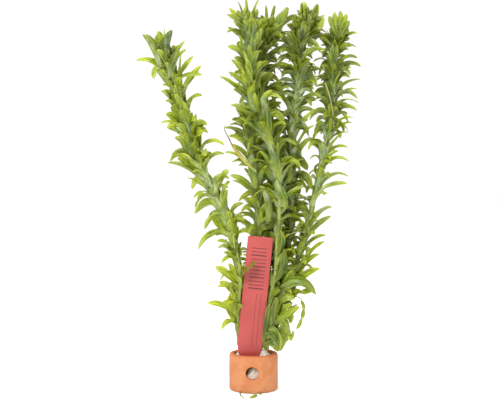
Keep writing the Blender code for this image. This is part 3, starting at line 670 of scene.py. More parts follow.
def test_shape(leaf, start=0):
    """A leaf's solid a little enlarged, from a share of the way to its first section, to find overlaps."""
    stations = sections_of(leaf)
    points = [a.lerp(b, start) for a, b in zip(section(leaf, 0), section(leaf, stations[0]))]
    faces = [(0, 1, 2)]
    for t in stations:
        here = len(points)
        points += section(leaf, t)
        for i in range(3):
            j = (i + 1) % 3
            faces += [(here - 3 + i, here - 3 + j, here + j), (here - 3 + i, here + j, here + i)]
    last = len(points)
    tip, direction = curve_at(leaf, 1)
    points.append(tip + direction * CLEARANCE)
    faces += [(last - 3 + i, last - 3 + (i + 1) % 3, last) for i in range(3)]
    return BVHTree.FromPolygons(points, faces, all_triangles=True)


def stem_shape(whorls, spec):
    """The sides of the stem alone, for finding overlaps."""
    points, faces = prism(stem_rings(whorls, spec))
    return BVHTree.FromPolygons(points, faces[2:])


def pentagon(centre, axis, radius, turn):
    viewer, right = side_directions(axis)
    yaws = [turn + math.tau * (i - 0.5) / SLOTS for i in range(SLOTS)]
    return [centre + (viewer * math.cos(yaw) + right * math.sin(yaw)) * radius for yaw in yaws]


def stem_rings(whorls, spec):
    """Rings of points up a stem: its cut end, the clay ring's rim, and the foot and head of every whorl."""
    foot, rim = Vector(spec["route"][0]), Vector(spec["route"][1])
    axis = (rim - foot).normalized()
    turn = whorls[0]["turn"]
    rings = [pentagon(p, axis, STEM_RADIUS, turn) for p in (foot, rim)]
    for whorl in whorls:
        for side in (-0.5, 0.5):
            centre = whorl["centre"] + whorl["axis"] * whorl["height"] * side
            rings.append(pentagon(centre, whorl["axis"], whorl["radius"], whorl["turn"]))
    return rings


def test_shapes(leaf):
    """The leaf's solid from its root, from just off the stem, and from well away from it."""
    return [test_shape(leaf, start) for start in (0, 0.25, 0.5)]


def crosses(leaf, name, fixed, stems, placed):
    """Whether a leaf would meet the ring, the label, a stem or a leaf that is there already."""
    full, near, outer = test_shapes(leaf)
    middle = curve_at(leaf, 0.5)[0]
    if min(curve_at(leaf, t)[0].z for t in (0.6, 0.8, 1.0)) < LOWEST_LEAF:
        return True
    if any(full.overlap(tree) for tree in fixed):
        return True
    for other, tree in stems.items():
        if (outer if other == name else full).overlap(tree):
            return True
    for other, centre, full_there, near_there in placed:
        if (centre - middle).length > LEAF_FAR:
            continue
        if near.overlap(near_there) if other == name else full.overlap(full_there):
            return True
    return False


def settle(leaf, name, placed):
    placed.append((name, curve_at(leaf, 0.5)[0], *test_shapes(leaf)[:2]))


def slot_yaw(whorl, slot):
    return whorl["turn"] + math.tau * slot / SLOTS


def turned_from(a, b):
    """The angle between two directions round the stem."""
    return abs((a - b + math.pi) % math.tau - math.pi)


def place_shown(name, whorls, shown, fixed, stems, placed):
    """Puts each chosen leaf on the free slot that faces its tip best, on the whorl nearest its height."""
    for height, x, y, z, arch, width, *by in shown:
        tip = Vector((x, y, z))
        by = Vector(by[0]) if by else None
        options = []
        for whorl in whorls:
            rise = abs(whorl["centre"].z - height)
            if rise > SHOWN_REACH:
                continue
            viewer, right = side_directions(whorl["axis"])
            level = tip - whorl["centre"]
            yaw = math.atan2(level.dot(right), level.dot(viewer))
            for slot in range(SLOTS):
                if whorl["leaves"][slot] is None:
                    cost = rise + TURN_COST * turned_from(yaw, slot_yaw(whorl, slot))
                    options.append((cost, whorl, slot))
        options.sort(key=lambda option: option[0])
        tries = [(whorl, slot, share) for _, whorl, slot in options[:4] for share in (1, 0.7)]
        for whorl, slot, share in tries:
            leaf = aimed_leaf(whorl, tip, width * SHOWN_WIDTH * share, math.radians(arch), by)
            leaf["roll"] *= share
            if not crosses(leaf, name, fixed[:2] if by else fixed, stems, placed):
                whorl["leaves"][slot] = leaf
                settle(leaf, name, placed)
                break


def spread_of(name, below_tip):
    """The lean and arch of a cutting's leaves at a distance below its tip."""
    lean, arch = read_spread(below_tip)
    more_lean, more_arch = STEMS[name].get("habit", (1, 1))
    return lean * more_lean, arch * more_arch


def kept_share(name, height):
    """The share of the leaves that a cutting has at a height."""
    for low, high, share in STEMS[name].get("sparse", ()):
        if low < height < high:
            return share
    return USUAL_SHARE


def place_free(name, whorl, chance, fixed, stems, placed):
    """Fills a whorl's free slots by rule, trying a few leans where a leaf would meet something."""
    lean, arch = spread_of(name, whorl["below"])
    young = min(1, whorl["below"] / TIP_ZONE)
    bare = any(low < whorl["centre"].z < high for low, high in BARE_FRONT.get(name, ()))
    for slot in range(SLOTS):
        yaw = slot_yaw(whorl, slot)
        draws = [chance.uniform(-1, 1) for _ in range(9)]
        if whorl["leaves"][slot] is not None or abs(draws[8]) > kept_share(name, whorl["centre"].z):
            continue
        if bare and turned_from(yaw, 0) < math.radians(BARE_WIDTH):
            continue
        limp = LIMP if draws[8] > 0.5 and whorl["below"] > FIRM_ZONE else 0
        flat = PRESSED + (1 - PRESSED) * abs(math.sin(yaw))
        length, width = STEMS[name]["leaf"]
        length = (0.66 + 0.34 * young) * (length + 3.0 * draws[0])
        width = (0.8 + 0.2 * young) * (width + 0.8 * draws[1])
        roll = math.radians(LEAF_ROLL[0] + (LEAF_ROLL[1] - LEAF_ROLL[0]) * abs(draws[7])) * young
        for change in LEAN_CHANGES:
            share = 1 - abs(change) / 70
            leaf = free_leaf(
                whorl,
                yaw + math.radians(12 * draws[2] + change * 0.5 * math.copysign(1, draws[6])),
                length * share,
                width * share,
                math.radians(max(8, (lean + limp + 12 * draws[3]) * flat + change * 0.7)),
                math.radians((arch + limp * 0.6 + 14 * draws[4]) * flat),
                math.radians(20 * draws[5]),
                math.copysign(roll * share * share, draws[7]),
            )
            if not crosses(leaf, name, fixed, stems, placed):
                whorl["leaves"][slot] = leaf
                settle(leaf, name, placed)
                break


def tree_of(points, faces):
    return BVHTree.FromPolygons([Vector(p) for p in points], faces)


def fixed_shapes():
    """What the leaves keep clear of: the ring, the label, and the space in front of the label."""
    bar = tube((0, 0, -1), (0, 0, RING_HEIGHT + GAP), RING_RADIUS + GAP, 32)
    label = label_slab(GAP, LABEL_THICK / 2 + GAP, LABEL_THICK / 2 + GAP)
    corridor = label_slab(GAP, LABEL_THICK / 2 + GAP, VIEW_CORRIDOR)
    return [tree_of(*bar), tree_of(*label), tree_of(*corridor)]


def grow():
    """Every cutting's whorls with leaves, which keep clear of other cuttings, the ring and the label."""
    fixed = fixed_shapes()
    grown = {name: make_whorls(spec) for name, spec in STEMS.items()}
    stems = {name: stem_shape(grown[name], spec) for name, spec in STEMS.items()}
    placed = []
    for name, spec in STEMS.items():
        place_shown(name, grown[name], spec["shown"], fixed, stems, placed)
    chances = {name: random.Random(spec["seed"]) for name, spec in STEMS.items()}
    order = [(whorl["centre"].z, name, whorl) for name in STEMS for whorl in grown[name]]
    for _, name, whorl in sorted(order, key=lambda entry: -entry[0]):
        place_free(name, whorl, chances[name], fixed, stems, placed)
    return grown


def linear(red, green, blue):
    """A colour given as display values from 0 to 255, as linear RGB."""
    shares = [value / 255 for value in (red, green, blue)]
    return Vector([((share + 0.055) / 1.055) ** 2.4 if share > 0.04 else share / 12.92 for share in shares])


# Leaf colours, from the deepest green to the yellow of a leaf's end, and the others of the plant
DEEP = linear(52, 78, 24)
MID = linear(112, 144, 36)
FRESH = linear(174, 190, 48)
YELLOW = linear(220, 222, 84)
PALE_STEM = linear(216, 226, 132)
# A whitish painted sheen on the feet of the upper leaves
SHEATH_SHEEN = linear(205, 216, 176)
# Pale grey-green patches of painted sheen
SHEEN_PATCH = linear(156, 180, 142)
SLATE = linear(52, 64, 76)
STRAW = linear(206, 178, 104)
OLIVE = linear(136, 100, 50)
ROOT_CREAM = linear(226, 220, 176)
THROUGH = linear(250, 252, 150)
INK = linear(84, 14, 26)
WHITE = Vector((1, 1, 1))

# How much lighter each cutting's leaves are near its tip and lower down, and the heights between which this
# changes
TONES = {
    "stem_left": (0.42, 0.4),
    "stem_low": (0.24, 0.24),
    "stem_front": (0.24, 0.24),
    "stem_tall": (0.06, 0.04),
    "stem_centre": (-0.08, 0.0),
    "stem_right": (-0.04, 0.17),
}
TONE_CHANGE = (140, 172)
TONE_USUAL = 0.34
TONE_RANGE = 0.36
TONE_YOUNG = 0.16
YOUNG_REACH = (4, 60)
# Lower leaves are lighter, more at the left than at the right; the difference between the sides is painted
# light falling from the left
FOOT_LEFT = 0.24
FOOT_RIGHT = 0.06
FOOT_HEIGHTS = (30, 80)

# The chosen leaves that are dark or brownish, by where their tips are in the picture
KINDS = {(-49, 213.3): "slate", (-64.1, 211.5): "slate", (1.8, 78.2): "olive"}
OLIVE_WIDENED = 1.35


def mix(a, b, share):
    return a.lerp(b, max(0.0, min(1.0, share)))


def smooth_step(low, high, value):
    t = max(0.0, min(1.0, (value - low) / (high - low)))
    return t * t * (3 - 2 * t)


def mesh_object(name, points, faces, look):
    mesh = bpy.data.meshes.new(name)
    mesh.from_pydata([Vector(p) * MM for p in points], [], faces)
    shaped = bmesh.new()
    shaped.from_mesh(mesh)
    bmesh.ops.recalc_face_normals(shaped, faces=shaped.faces)
    shaped.to_mesh(mesh)
    shaped.free()
    mesh.materials.append(look)
    made = bpy.data.objects.new(name, mesh)
    bpy.context.scene.collection.objects.link(made)
    return made


def store(made, name, values):
    layer = made.data.attributes.new(name, "FLOAT_COLOR", "POINT")
    layer.data.foreach_set("color", np.array(values, np.float32).ravel())


def attach(made, node=None):
    """Gives a piece its body, and puts it in the place of a solid if one is named."""
    if node:
        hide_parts(node)
    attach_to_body(made, "root")


class Piece:
    """Foliage being built: points in millimetres, faces, and each point's colour and place on its leaf."""

    def __init__(self, name, seed=0):
        self.name = name
        self.chance = random.Random(seed)
        self.points = []
        self.faces = []
        self.tints = []
        self.places = []

    def add(self, point, tint, place=(0.8, 0.5, 0.5)):
        self.points.append(point)
        self.tints.append(tint)
        self.places.append(place)
        return len(self.points) - 1

    def circle(self, centre, first, second, radius, sides, tint):
        """Points round a centre, from one direction through another."""
        turns = [math.tau * j / sides for j in range(sides)]
        outs = [first * math.cos(a) + second * math.sin(a) for a in turns]
        return [self.add(centre + out * radius, tint) for out in outs]

    def loft(self, loops, tip):
        """A skin over loops of points, closed flat at its start and drawn in to a tip at its end."""
        after = [*range(1, len(loops[0])), 0]
        self.faces.append(tuple(loops[0]))
        for low, high in zip(loops, loops[1:]):
            self.faces += [(low[i], low[j], high[j], high[i]) for i, j in enumerate(after)]
        self.faces += [(loops[-1][i], loops[-1][j], tip) for i, j in enumerate(after)]

    def finish(self, look, node=None):
        made = mesh_object(self.name, self.points, self.faces, look)
        store(made, "tint", [(*tint, 1.0) for tint in self.tints])
        store(made, "place", [(*place, 1.0) for place in self.places])
        made.data.shade_smooth()
        made.data.set_sharp_from_angle(angle=math.radians(CREASE))
        attach(made, node)


def leaf_tint(tone, along_leaf, edge, kind, sheen):
    """A leaf's colour at a place along it: paler at its foot, with a whitish painted sheen there on upper
    leaves, yellower towards its tip, and yellower at its edges as painted light coming through.
    """
    if kind == "slate":
        return mix(mix(SLATE, MID, 0.25), SLATE, along_leaf)
    if kind == "dying":
        return mix(mix(FRESH, STRAW, 0.3 + 0.7 * along_leaf), YELLOW, 0.2 * edge)
    if kind == "olive":
        return mix(OLIVE, MID, 0.2)
    base = mix(DEEP, MID, tone * 1.6)
    base = mix(base, FRESH, tone * 1.3 - 0.35)
    # The foot is pale, and takes on a whitish painted sheen between the sheen heights
    foot = mix(PALE_STEM, SHEATH_SHEEN, sheen)
    base = mix(base, foot, (0.35 + 0.45 * sheen) * (1 - smooth_step(0.08, 0.5, along_leaf)))
    # The yellower edges are painted light coming through the thin margin
    yellow = smooth_step(0.5, 1.0, along_leaf) * (0.2 + 0.45 * tone) + 0.2 * edge**4
    return mix(base, YELLOW, yellow)


def blade(piece, leaf):
    """A thin leaf: a lens-shaped section, cupped round the stem at its foot, with a midrib and waves."""
    width, tone, kind, crumple = leaf["width"], leaf["tone"], leaf.get("kind", ""), leaf.get("crumple", 1)
    chance = piece.chance
    twist = math.radians(chance.uniform(-24, 24))
    wave_phase, wave_count = chance.uniform(0, math.tau), chance.uniform(0.9, 2.4)
    wave = chance.uniform(0.05, 0.25) * (1.6 if width > BROAD else 1) * crumple
    cup_far = chance.uniform(-0.1, 0.34)
    blunt = chance.uniform(1.6, 3.0)
    fold = chance.uniform(0.1, 0.8)
    shade = chance.random()
    sheen = smooth_step(*SHEEN_HEIGHTS, leaf["curve"][0].z) if crumple == 1 else 0
    taper = TAPERS[1 if leaf.get("blunt") or crumple != 1 else 0]
    shares = [2 * j / (BLADE_ACROSS - 1) - 1 for j in range(BLADE_ACROSS)]
    sides = [(1, u) for u in shares] + [(-1, u) for u in shares[-2:0:-1]]
    loops = []
    for i in range(BLADE_STATIONS):
        t = 1 - (1 - i / BLADE_STATIONS) ** STATION_EASE
        point, direction = curve_at(leaf, t)
        level = across_at(leaf, t, direction)
        upper = direction.cross(level)
        turn = twist * t * t
        across = level * math.cos(turn) + upper * math.sin(turn)
        raised = upper * math.cos(turn) - level * math.sin(turn)
        rise = 0.82 + 0.18 * smooth_step(0, 0.3, t)
        fall = max(0, 1 - (max(0, t - taper) / (1 - taper)) ** blunt) ** 0.6
        half = width * rise * fall / 2
        cup = cup_far + (1.0 - cup_far) * (1 - smooth_step(0, 0.5, t))
        ripple = math.sin(wave_phase + wave_count * math.tau * t)
        loop = []
        for side, u in sides:
            lift = half * (cup * (u * u - 0.25) + fold * (abs(u) - 0.5)) + half * wave * u * ripple
            thick = side * BLADE_THICK / 2 * (1 - u * u) * (1 - 0.5 * t)
            rib = (RIB_GROOVE if side > 0 else RIB_KEEL * (1 - t)) * math.exp(-((u / RIB_WIDTH) ** 2))
            spot = point + across * (half * u * (1 - 0.12 * cup)) + raised * (lift + thick - rib)
            loop.append(piece.add(spot, leaf_tint(tone, t, abs(u), kind, sheen), ((u + 1) / 2, t, shade)))
        loops.append(loop)
    tip = piece.add(curve_at(leaf, 1)[0], leaf_tint(tone, 1, 0, kind, sheen), (0.5, 1, shade))
    piece.loft(loops, tip)


def leaf_site(line, below, radius):
    """A place on a stem for single leaves, by its distance below the tip."""
    centre, axis = along(line, length_of(line) - below)
    return {"centre": centre, "axis": axis, "below": below, "radius": radius}


def leaf_tone(name, site, chance):
    """How light a leaf is: brighter near the tip and near the foot, with a spread from leaf to leaf."""
    height = site["centre"].z
    upper, lower = TONES[name]
    own = lower + (upper - lower) * smooth_step(*TONE_CHANGE, height)
    young = 1 - smooth_step(*YOUNG_REACH, site["below"])
    # Painted light: the foot is lighter at the left than at the right
    foot = (1 - smooth_step(*FOOT_HEIGHTS, height)) * (FOOT_LEFT if site["centre"].x < 0 else FOOT_RIGHT)
    spread = chance.uniform(-TONE_RANGE, TONE_RANGE)
    return max(0.0, min(1.0, TONE_USUAL + own + TONE_YOUNG * young + foot + spread))


def fill_leaves(name, spec, whorls, fixed):
    """Leaves between the whorls, which make the upper part of a cutting as dense as it grows."""
    chance = random.Random(spec["seed"] + FILL_SEED)
    line = smooth_route(spec["route"])
    crowd = CROWDED[name]
    sites = []
    for low, high in zip(whorls, whorls[1:]):
        count = crowd["places"] if high["below"] < crowd["reach"] else 1
        gap = high["below"] - low["below"]
        places = [low["below"] + gap * (i + 1) / (count + 1) for i in range(count)]
        sites += [leaf_site(line, below, low["radius"]) for below in places]
    leaves = []
    for site in sites:
        below, height = site["below"], site["centre"].z
        share = (FILL_HIGH if below < FILL_ZONE else FILL_LOW) * kept_share(name, height)
        crown = CROWN_SHORTER if below < TIP_ZONE * 0.6 else 1
        young = min(1, below / (TIP_ZONE * 2))
        lean, arch = spread_of(name, below)
        bare = any(low < height < high for low, high in OPEN_FRONT.get(name, ()))
        start = chance.uniform(0, math.tau)
        for slot in range(SLOTS):
            draws = [chance.uniform(-1, 1) for _ in range(9)]
            yaw = start + math.tau * slot / SLOTS + 0.3 * draws[0]
            if abs(draws[1]) > share or (bare and turned_from(yaw, 0) < math.radians(OPEN_WIDTH)):
                continue
            flat = FILL_PRESSED + (1 - FILL_PRESSED) * abs(math.sin(yaw))
            limp = LIMP * 1.3 if draws[8] > 0.3 and below > FIRM_ZONE else 0
            lean_share = crowd["lean" if draws[7] > 0 else "spread"]
            leaf = free_leaf(
                site,
                yaw,
                crown * (0.66 + 0.34 * young * crowd["length"]) * (spec["leaf"][0] + 3.5 * draws[2]),
                (0.8 + 0.2 * young) * (spec["leaf"][1] * 0.94 + 1.1 * draws[3]) * crowd["width"],
                math.radians(max(9, (lean * lean_share + limp + 14 * draws[4]) * flat)),
                math.radians((arch * lean_share + limp + 20 * draws[5]) * flat),
                math.radians(22 * draws[6]),
                math.radians(60 * draws[7]),
            )
            shape = test_shape(leaf)
            if not any(shape.overlap(tree) for tree in fixed) and curve_at(leaf, 1)[0].z > LOWEST_LEAF:
                leaf["tone"] = leaf_tone(name, site, chance)
                leaves.append(leaf)
    return leaves


def crown_leaves(name, spec, whorls):
    """The short blunt leaves of a tip: the inner ones stand up and the outer ones spread."""
    chance = random.Random(spec["seed"] + CROWN_SEED)
    count, length, width = CROWNS.get(name, (0, 0, 0))
    line = smooth_route(spec["route"])
    leaves = []
    for i in range(count):
        share = i / (count - 1)
        draws = [chance.uniform(-1, 1) for _ in range(7)]
        below = CROWN_DEPTH[0] + (CROWN_DEPTH[1] - CROWN_DEPTH[0]) * share
        site = leaf_site(line, below, whorls[-1]["radius"])
        yaw = CROWN_TURN * i + 0.5 * draws[0]
        flat = PRESSED + (1 - PRESSED) * abs(math.sin(yaw))
        lean = (CROWN_LEAN[0] + (CROWN_LEAN[1] - CROWN_LEAN[0]) * share + 9 * draws[1]) * flat
        leaf = free_leaf(
            site,
            yaw,
            length * (0.86 + 0.24 * share + 0.16 * draws[2]),
            width * (0.7 + 0.3 * share + 0.14 * draws[3]),
            math.radians(max(4, lean)),
            math.radians(10 + 10 * draws[4]),
            math.radians(18 * draws[5]),
            math.radians(70 * draws[6]),
        )
        leaf.update(tone=leaf_tone(name, site, chance), blunt=True)
        leaves.append(leaf)
    return leaves


def fine_stem(piece, spec, whorls):
    """A round stem that swells a little at its nodes, and ends cut off below and in a bud above."""
    line = smooth_route(spec["route"])
    length = length_of(line)
    nodes = [length - whorl["below"] for whorl in whorls]
    steps = int(length / STEM_STEP)
    loops = []
    for i in range(steps + 1):
        place = (length - BUD_TIP) * i / steps
        centre, axis = along(line, place)
        radius = stem_radius(length - place) * STEM_FINENESS
        near = min(abs(place - node) for node in nodes)
        radius *= 1 + NODE_SWELL * math.exp(-((near / NODE_REACH) ** 2))
        tint = mix(PALE_STEM, FRESH, NODE_GREEN * math.exp(-((near / 1.5) ** 2)))
        loops.append(piece.circle(centre, *side_directions(axis), radius, STEM_SIDES, tint))
    centre, axis = along(line, length)
    piece.loft(loops, piece.add(centre + axis * BUD_TIP, FRESH))


def droop_leaf(leaf, kept_tips, chance):
    """Bows a leaf down a little more than its solid, unless its tip is one that was chosen."""
    draws = [chance.uniform(-1, 1) for _ in range(4)]
    root, near, far, tip = leaf["curve"]
    run = tip - root
    level = math.hypot(run.x, run.y)
    if any((tip - Vector(kept)).length < 0.1 for kept in kept_tips):
        near.z += 0.06 * level
        far.z += 0.12 * level * (1 + draws[0])
        return
    side = Vector((run.y, -run.x, 0)) * 0.12
    drop = level * (0.22 + 0.22 * draws[1])
    near.z += 0.1 * drop
    far += side * draws[2] * 0.5 + Vector((0, 0, 0.15 * drop))
    tip += side * draws[3] - Vector((0, 0, drop))


def dress_leaves(grown, fixed):
    """Every cutting's leaves with their tones: the deeper a leaf sits among others, the darker its painted
    shade.
    """
    leaves = {}
    for name, spec in STEMS.items():
        chance = random.Random(spec["seed"] + TONE_SEED)
        leaves[name] = []
        for whorl in grown[name]:
            for leaf in whorl["leaves"]:
                tone = leaf_tone(name, whorl, chance)
                if leaf:
                    tip = leaf["curve"][3]
                    kind = KINDS.get((round(tip.x, 1), round(tip.z, 1)), "")
                    widened = OLIVE_WIDENED if kind == "olive" else 1
                    leaf.update(tone=tone, kind=kind, width=leaf["width"] * widened)
                    leaves[name].append(leaf)
        leaves[name] += fill_leaves(name, spec, grown[name], fixed)
        tips = [(x, y, z) for _, x, y, z, *_ in spec["shown"]]
        for leaf in leaves[name]:
            droop_leaf(leaf, tips, chance)
            top = leaf["curve"][3].z
            leaf["blunt"] = top > CROWN_TIPS
            if top > SLIM_TIPS and name != "stem_centre":
                leaf.update(width=leaf["width"] * 0.75, tone=max(0.0, leaf["tone"] - 0.25), blunt=False)
        leaves[name] += crown_leaves(name, spec, grown[name])
    every = [leaf for group in leaves.values() for leaf in group]
    middles = np.array([curve_at(leaf, 0.6)[0] for leaf in every])
    for leaf, middle in zip(every, middles):
        near = (np.linalg.norm(middles - middle, axis=1) < CROWD_REACH).sum()
        # Painted shade among crowded leaves
        leaf["tone"] = max(0.0, leaf["tone"] + CROWD_LIFT - CROWD_PAINTED_SHADE * smooth_step(*CROWD_COUNTS, near))
    return leaves


def make_cutting(name, spec, whorls, leaves, look):
    piece = Piece(name + "_leaves", spec["seed"] + BLADE_SEED)
    fine_stem(piece, spec, whorls)
    for leaf in leaves:
        blade(piece, leaf)
    piece.finish(look, name)


class Nodes:
    """A material, with short ways to add shader nodes to it and to link them."""

    def __init__(self, name):
        self.material = bpy.data.materials.new(name)
        self.material.use_nodes = True
        self.tree = self.material.node_tree
        self.shader = self.tree.nodes["Principled BSDF"]
        self.place = self.add("TexCoord").outputs["Object"]

    def add(self, kind, inputs=(), **settings):
        """A node, with each input that is named or numbered linked or set to what is given for it."""
        node = self.tree.nodes.new("ShaderNode" + kind)
        for key, value in settings.items():
            setattr(node, key, value)
        for key, given in dict(inputs).items():
            self.feed(node.inputs[key], given)
        return node

    def feed(self, socket, given):
        if isinstance(given, bpy.types.NodeSocket):
            self.tree.links.new(given, socket)
        else:
            socket.default_value = (*given, 1) if isinstance(given, Vector) else given

    def value(self, operation, a, b=0.0):
        return self.add("Math", {0: a, 1: b}, operation=operation).outputs[0]

    def blend(self, share, a, b):
        return self.add("Mix", {0: share, 6: a, 7: b}, data_type="RGBA").outputs[2]

    def noise(self, vector, scale, detail=3.0, roughness=0.5):
        inputs = {"Scale": scale, "Detail": detail, "Roughness": roughness, "Vector": vector}
        return self.add("TexNoise", inputs).outputs[0]

    def ramp(self, source, low, high, to_low=0.0, to_high=1.0):
        inputs = {"Value": source, "From Min": low, "From Max": high, "To Min": to_low, "To Max": to_high}
        return self.add("MapRange", inputs, interpolation_type="SMOOTHSTEP").outputs[0]

    def attribute(self, name):
        return self.add("Attribute", attribute_name=name).outputs["Color"]

    def split(self, source):
        return self.add("SeparateColor", {0: source}).outputs

    def surface(self, colour, roughness, height=None, depth=0.0, strength=1.0, specular=0.5):
        """Feeds the shader: a colour, a roughness, and a relief of a height, a depth and a strength."""
        self.feed(self.shader.inputs["Base Color"], colour)
        self.feed(self.shader.inputs["Roughness"], roughness)
        self.feed(self.shader.inputs["Specular IOR Level"], specular)
        if height is not None:
            bump = self.add("Bump", {"Distance": depth, "Strength": strength, "Height": height})
            self.feed(self.shader.inputs["Normal"], bump.outputs[0])
        return self.material


def leaf_material():
    """Leaves with darker and fresher streaks, pale patches of painted sheen at the foot, and light coming
    through.
    """
    n = Nodes("waterweed")
    place = n.split(n.attribute("place"))
    across, along_leaf = place[0], place[1]
    parts = {i: n.value("MULTIPLY", place[i], stretch) for i, stretch in enumerate(LEAF_STRETCH)}
    stretched = n.add("CombineXYZ", parts).outputs[0]
    streaks = n.noise(stretched, 1.6, 2.0)
    patches = n.noise(stretched, 0.8)
    sheen_noise = n.noise(n.place, 300.0, 2.0)
    rib = n.ramp(n.value("ABSOLUTE", n.value("SUBTRACT", across, 0.5)), 0.02, 0.09, 1.0, 0.0)
    colour = n.blend(n.ramp(streaks, 0.42, 0.66, 0.0, 0.72), n.attribute("tint"), DEEP)
    colour = n.blend(n.ramp(patches, 0.52, 0.7, 0.0, 0.6), colour, FRESH)
    colour = n.blend(n.ramp(patches, 0.34, 0.5, 0.45, 0.0), colour, DEEP)
    # Painted sheen: pale grey-green patches near the feet of leaves, stronger higher up
    foot = n.value("MULTIPLY", n.ramp(along_leaf, 0.1, 0.7, 0.72, 0.2), n.ramp(sheen_noise, 0.5, 0.66))
    height = n.ramp(n.split(n.place)[2], 0.05, 0.11, 0.25, 1.0)
    colour = n.blend(n.value("MULTIPLY", foot, height), colour, SHEEN_PATCH)
    colour = n.blend(n.value("MULTIPLY", rib, 0.16), colour, PALE_STEM)
    n.surface(colour, n.ramp(patches, 0.3, 0.7, 0.24, 0.42), streaks, 0.00018, 0.4)
    through = n.add("BsdfTranslucent", {"Color": n.blend(0.5, colour, THROUGH)})
    both = n.add("MixShader", {0: 0.5, 1: n.shader.outputs[0], 2: through.outputs[0]})
    n.feed(n.tree.nodes["Material Output"].inputs["Surface"], both.outputs[0])
    return n.material


def clay_material():
    n = Nodes("terracotta")
    broad = n.noise(n.place, 130.0, 4.0, 0.6)
    fine = n.noise(n.place, 900.0, 4.0, 0.7)
    grains = n.noise(n.place, 3200.0, 2.0, 0.6)
    colour = n.blend(n.ramp(broad, 0.36, 0.66), linear(171, 108, 66), linear(180, 120, 80))
    colour = n.blend(n.ramp(fine, 0.55, 0.75, 0.0, 0.4), colour, linear(160, 86, 46))
    colour = n.blend(n.ramp(grains, 0.62, 0.78, 0.0, 0.35), colour, linear(198, 150, 114))
    # The ring's tint darkens its top rim and paints shade in its bore and round the side hole
    colour = n.blend(n.split(n.attribute("tint"))[0], colour, linear(176, 78, 36))
    height = n.value("ADD", n.value("MULTIPLY", fine, 0.6), n.value("MULTIPLY", grains, 0.4))
    return n.surface(colour, n.ramp(fine, 0.3, 0.7, 0.72, 0.92), height, 0.0003, 0.8, 0.3)


def wool_material():
    n = Nodes("mineral_wool")
    broad = n.noise(n.place, 300.0, 4.0, 0.65)
    fine = n.noise(n.place, 1800.0, 3.0, 0.7)
    colour = n.blend(n.ramp(broad, 0.35, 0.65), linear(172, 160, 144), linear(208, 204, 188))
    colour = n.blend(n.ramp(fine, 0.5, 0.75, 0.0, 0.5), colour, linear(150, 136, 120))
    return n.surface(colour, n.ramp(fine, 0.3, 0.7, 0.85, 1.0), fine, 0.0005, 1.0, 0.15)


def label_material():
    n = Nodes("label_plastic")
    broad = n.noise(n.place, 60.0, 2.0)
    fine = n.noise(n.place, 1500.0, 2.0)
    colour = n.blend(n.ramp(broad, 0.35, 0.7), linear(149, 51, 45), linear(157, 58, 52))
    return n.surface(colour, n.ramp(fine, 0.3, 0.7, 0.36, 0.5), fine, 0.00006, 0.5)


def plain_material(name, colour, roughness):
    n = Nodes(name)
    mottle = n.noise(n.place, 900.0)
    colour = n.blend(n.ramp(mottle, 0.3, 0.7, 0.0, 0.3), colour, colour * 0.7)
    return n.surface(colour, n.ramp(mottle, 0.3, 0.7, roughness, roughness + 0.15))


def apply_modifiers(made):
    """The object's mesh with its modifiers worked in."""
    shaped = bpy.data.meshes.new_from_object(made.evaluated_get(bpy.context.evaluated_depsgraph_get()))
    old = made.data
    made.modifiers.clear()
    made.data = shaped
    bpy.data.meshes.remove(old)


def modify(made, kind, **settings):
    step = made.modifiers.new(kind, kind)
    for key, value in settings.items():
        setattr(step, key, value)


def remesh(made, voxel, smooth):
    """Gives an object an even fine mesh, with its edges softened by a number of passes."""
    modify(made, "REMESH", mode="VOXEL", voxel_size=voxel * MM)
    modify(made, "SMOOTH", factor=0.5, iterations=smooth)
    apply_modifiers(made)


def make_ring(look):
    """The clay ring: rounded by hand, with a softened side hole, small dents, a darker top rim, and painted
    shade in its bore and round the side hole.
    """
    edge, lip = RING_EDGE, RING_LIP
    profile = arc((RING_RADIUS - edge, edge), edge, -90, 0, 6)
    profile += arc((RING_RADIUS - edge, RING_HEIGHT - edge), edge, 0, 90, 6)
    profile += arc((BORE_RADIUS + lip, RING_HEIGHT - lip), lip, 90, 180, 4)
    profile += arc((BORE_RADIUS + lip, lip), lip, 180, 270, 4)
    ring = mesh_object("clay_ring_fine", *turned(profile, RING_TURN), look)
    ends = [(HOLE_X, side * (RING_RADIUS + 5), HOLE_HEIGHT) for side in (-1, 1)]
    tool = mesh_object("side_hole", *tube(*ends, HOLE_RADIUS, HOLE_TURN), look)
    modify(ring, "BOOLEAN", operation="DIFFERENCE", solver="EXACT", object=tool)
    apply_modifiers(ring)
    bpy.data.objects.remove(tool)
    remesh(ring, RING_VOXEL, 4)
    rim_dark_and_painted_shade = []
    for vertex in ring.data.vertices:
        p = vertex.co / MM
        out = math.hypot(p.x, p.y)
        outer = smooth_step(RING_RADIUS - 2.2, RING_RADIUS - 0.6, out)
        inner = 1 - smooth_step(BORE_RADIUS + 0.1, BORE_RADIUS + 1.5, out)
        top = smooth_step(RING_HEIGHT - 2.0, RING_HEIGHT, p.z)
        small = noise.noise(p * 0.55)
        broad = noise.noise(p * 0.09 + DENT_PLACE)
        dent = DENT_BROAD * max(0.0, broad + 0.2) + DENT_SMALL * max(0.0, small)
        level = smooth_step(0.2, 2.5, p.z) * smooth_step(-0.1, 1.5, RING_HEIGHT - p.z)
        vertex.co -= Vector((p.x, p.y, 0)) / out * (dent * outer * level * MM)
        sag = max(0.0, noise.noise(Vector((p.x * 0.16, p.y * 0.16, 5.0))) + 0.15)
        vertex.co.z -= MM * RIM_SAG * top * sag
        # Darker at the top rim, and painted shade on the wall of the bore and round the side hole
        dark = 0.55 * top * (0.6 + 0.8 * small) + 0.65 * inner
        if p.y < 0 or abs(p.x) < 7:
            from_hole = math.hypot(p.x - HOLE_X, p.z - HOLE_HEIGHT)
            dark += 0.5 * (1 - smooth_step(HOLE_RADIUS, HOLE_RADIUS + 0.7, from_hole))
        rim_dark_and_painted_shade.append((max(0.0, min(0.9, dark)), 0, 0, 1))
    store(ring, "tint", rim_dark_and_painted_shade)
    ring.data.shade_smooth()
    attach(ring, "clay_ring")


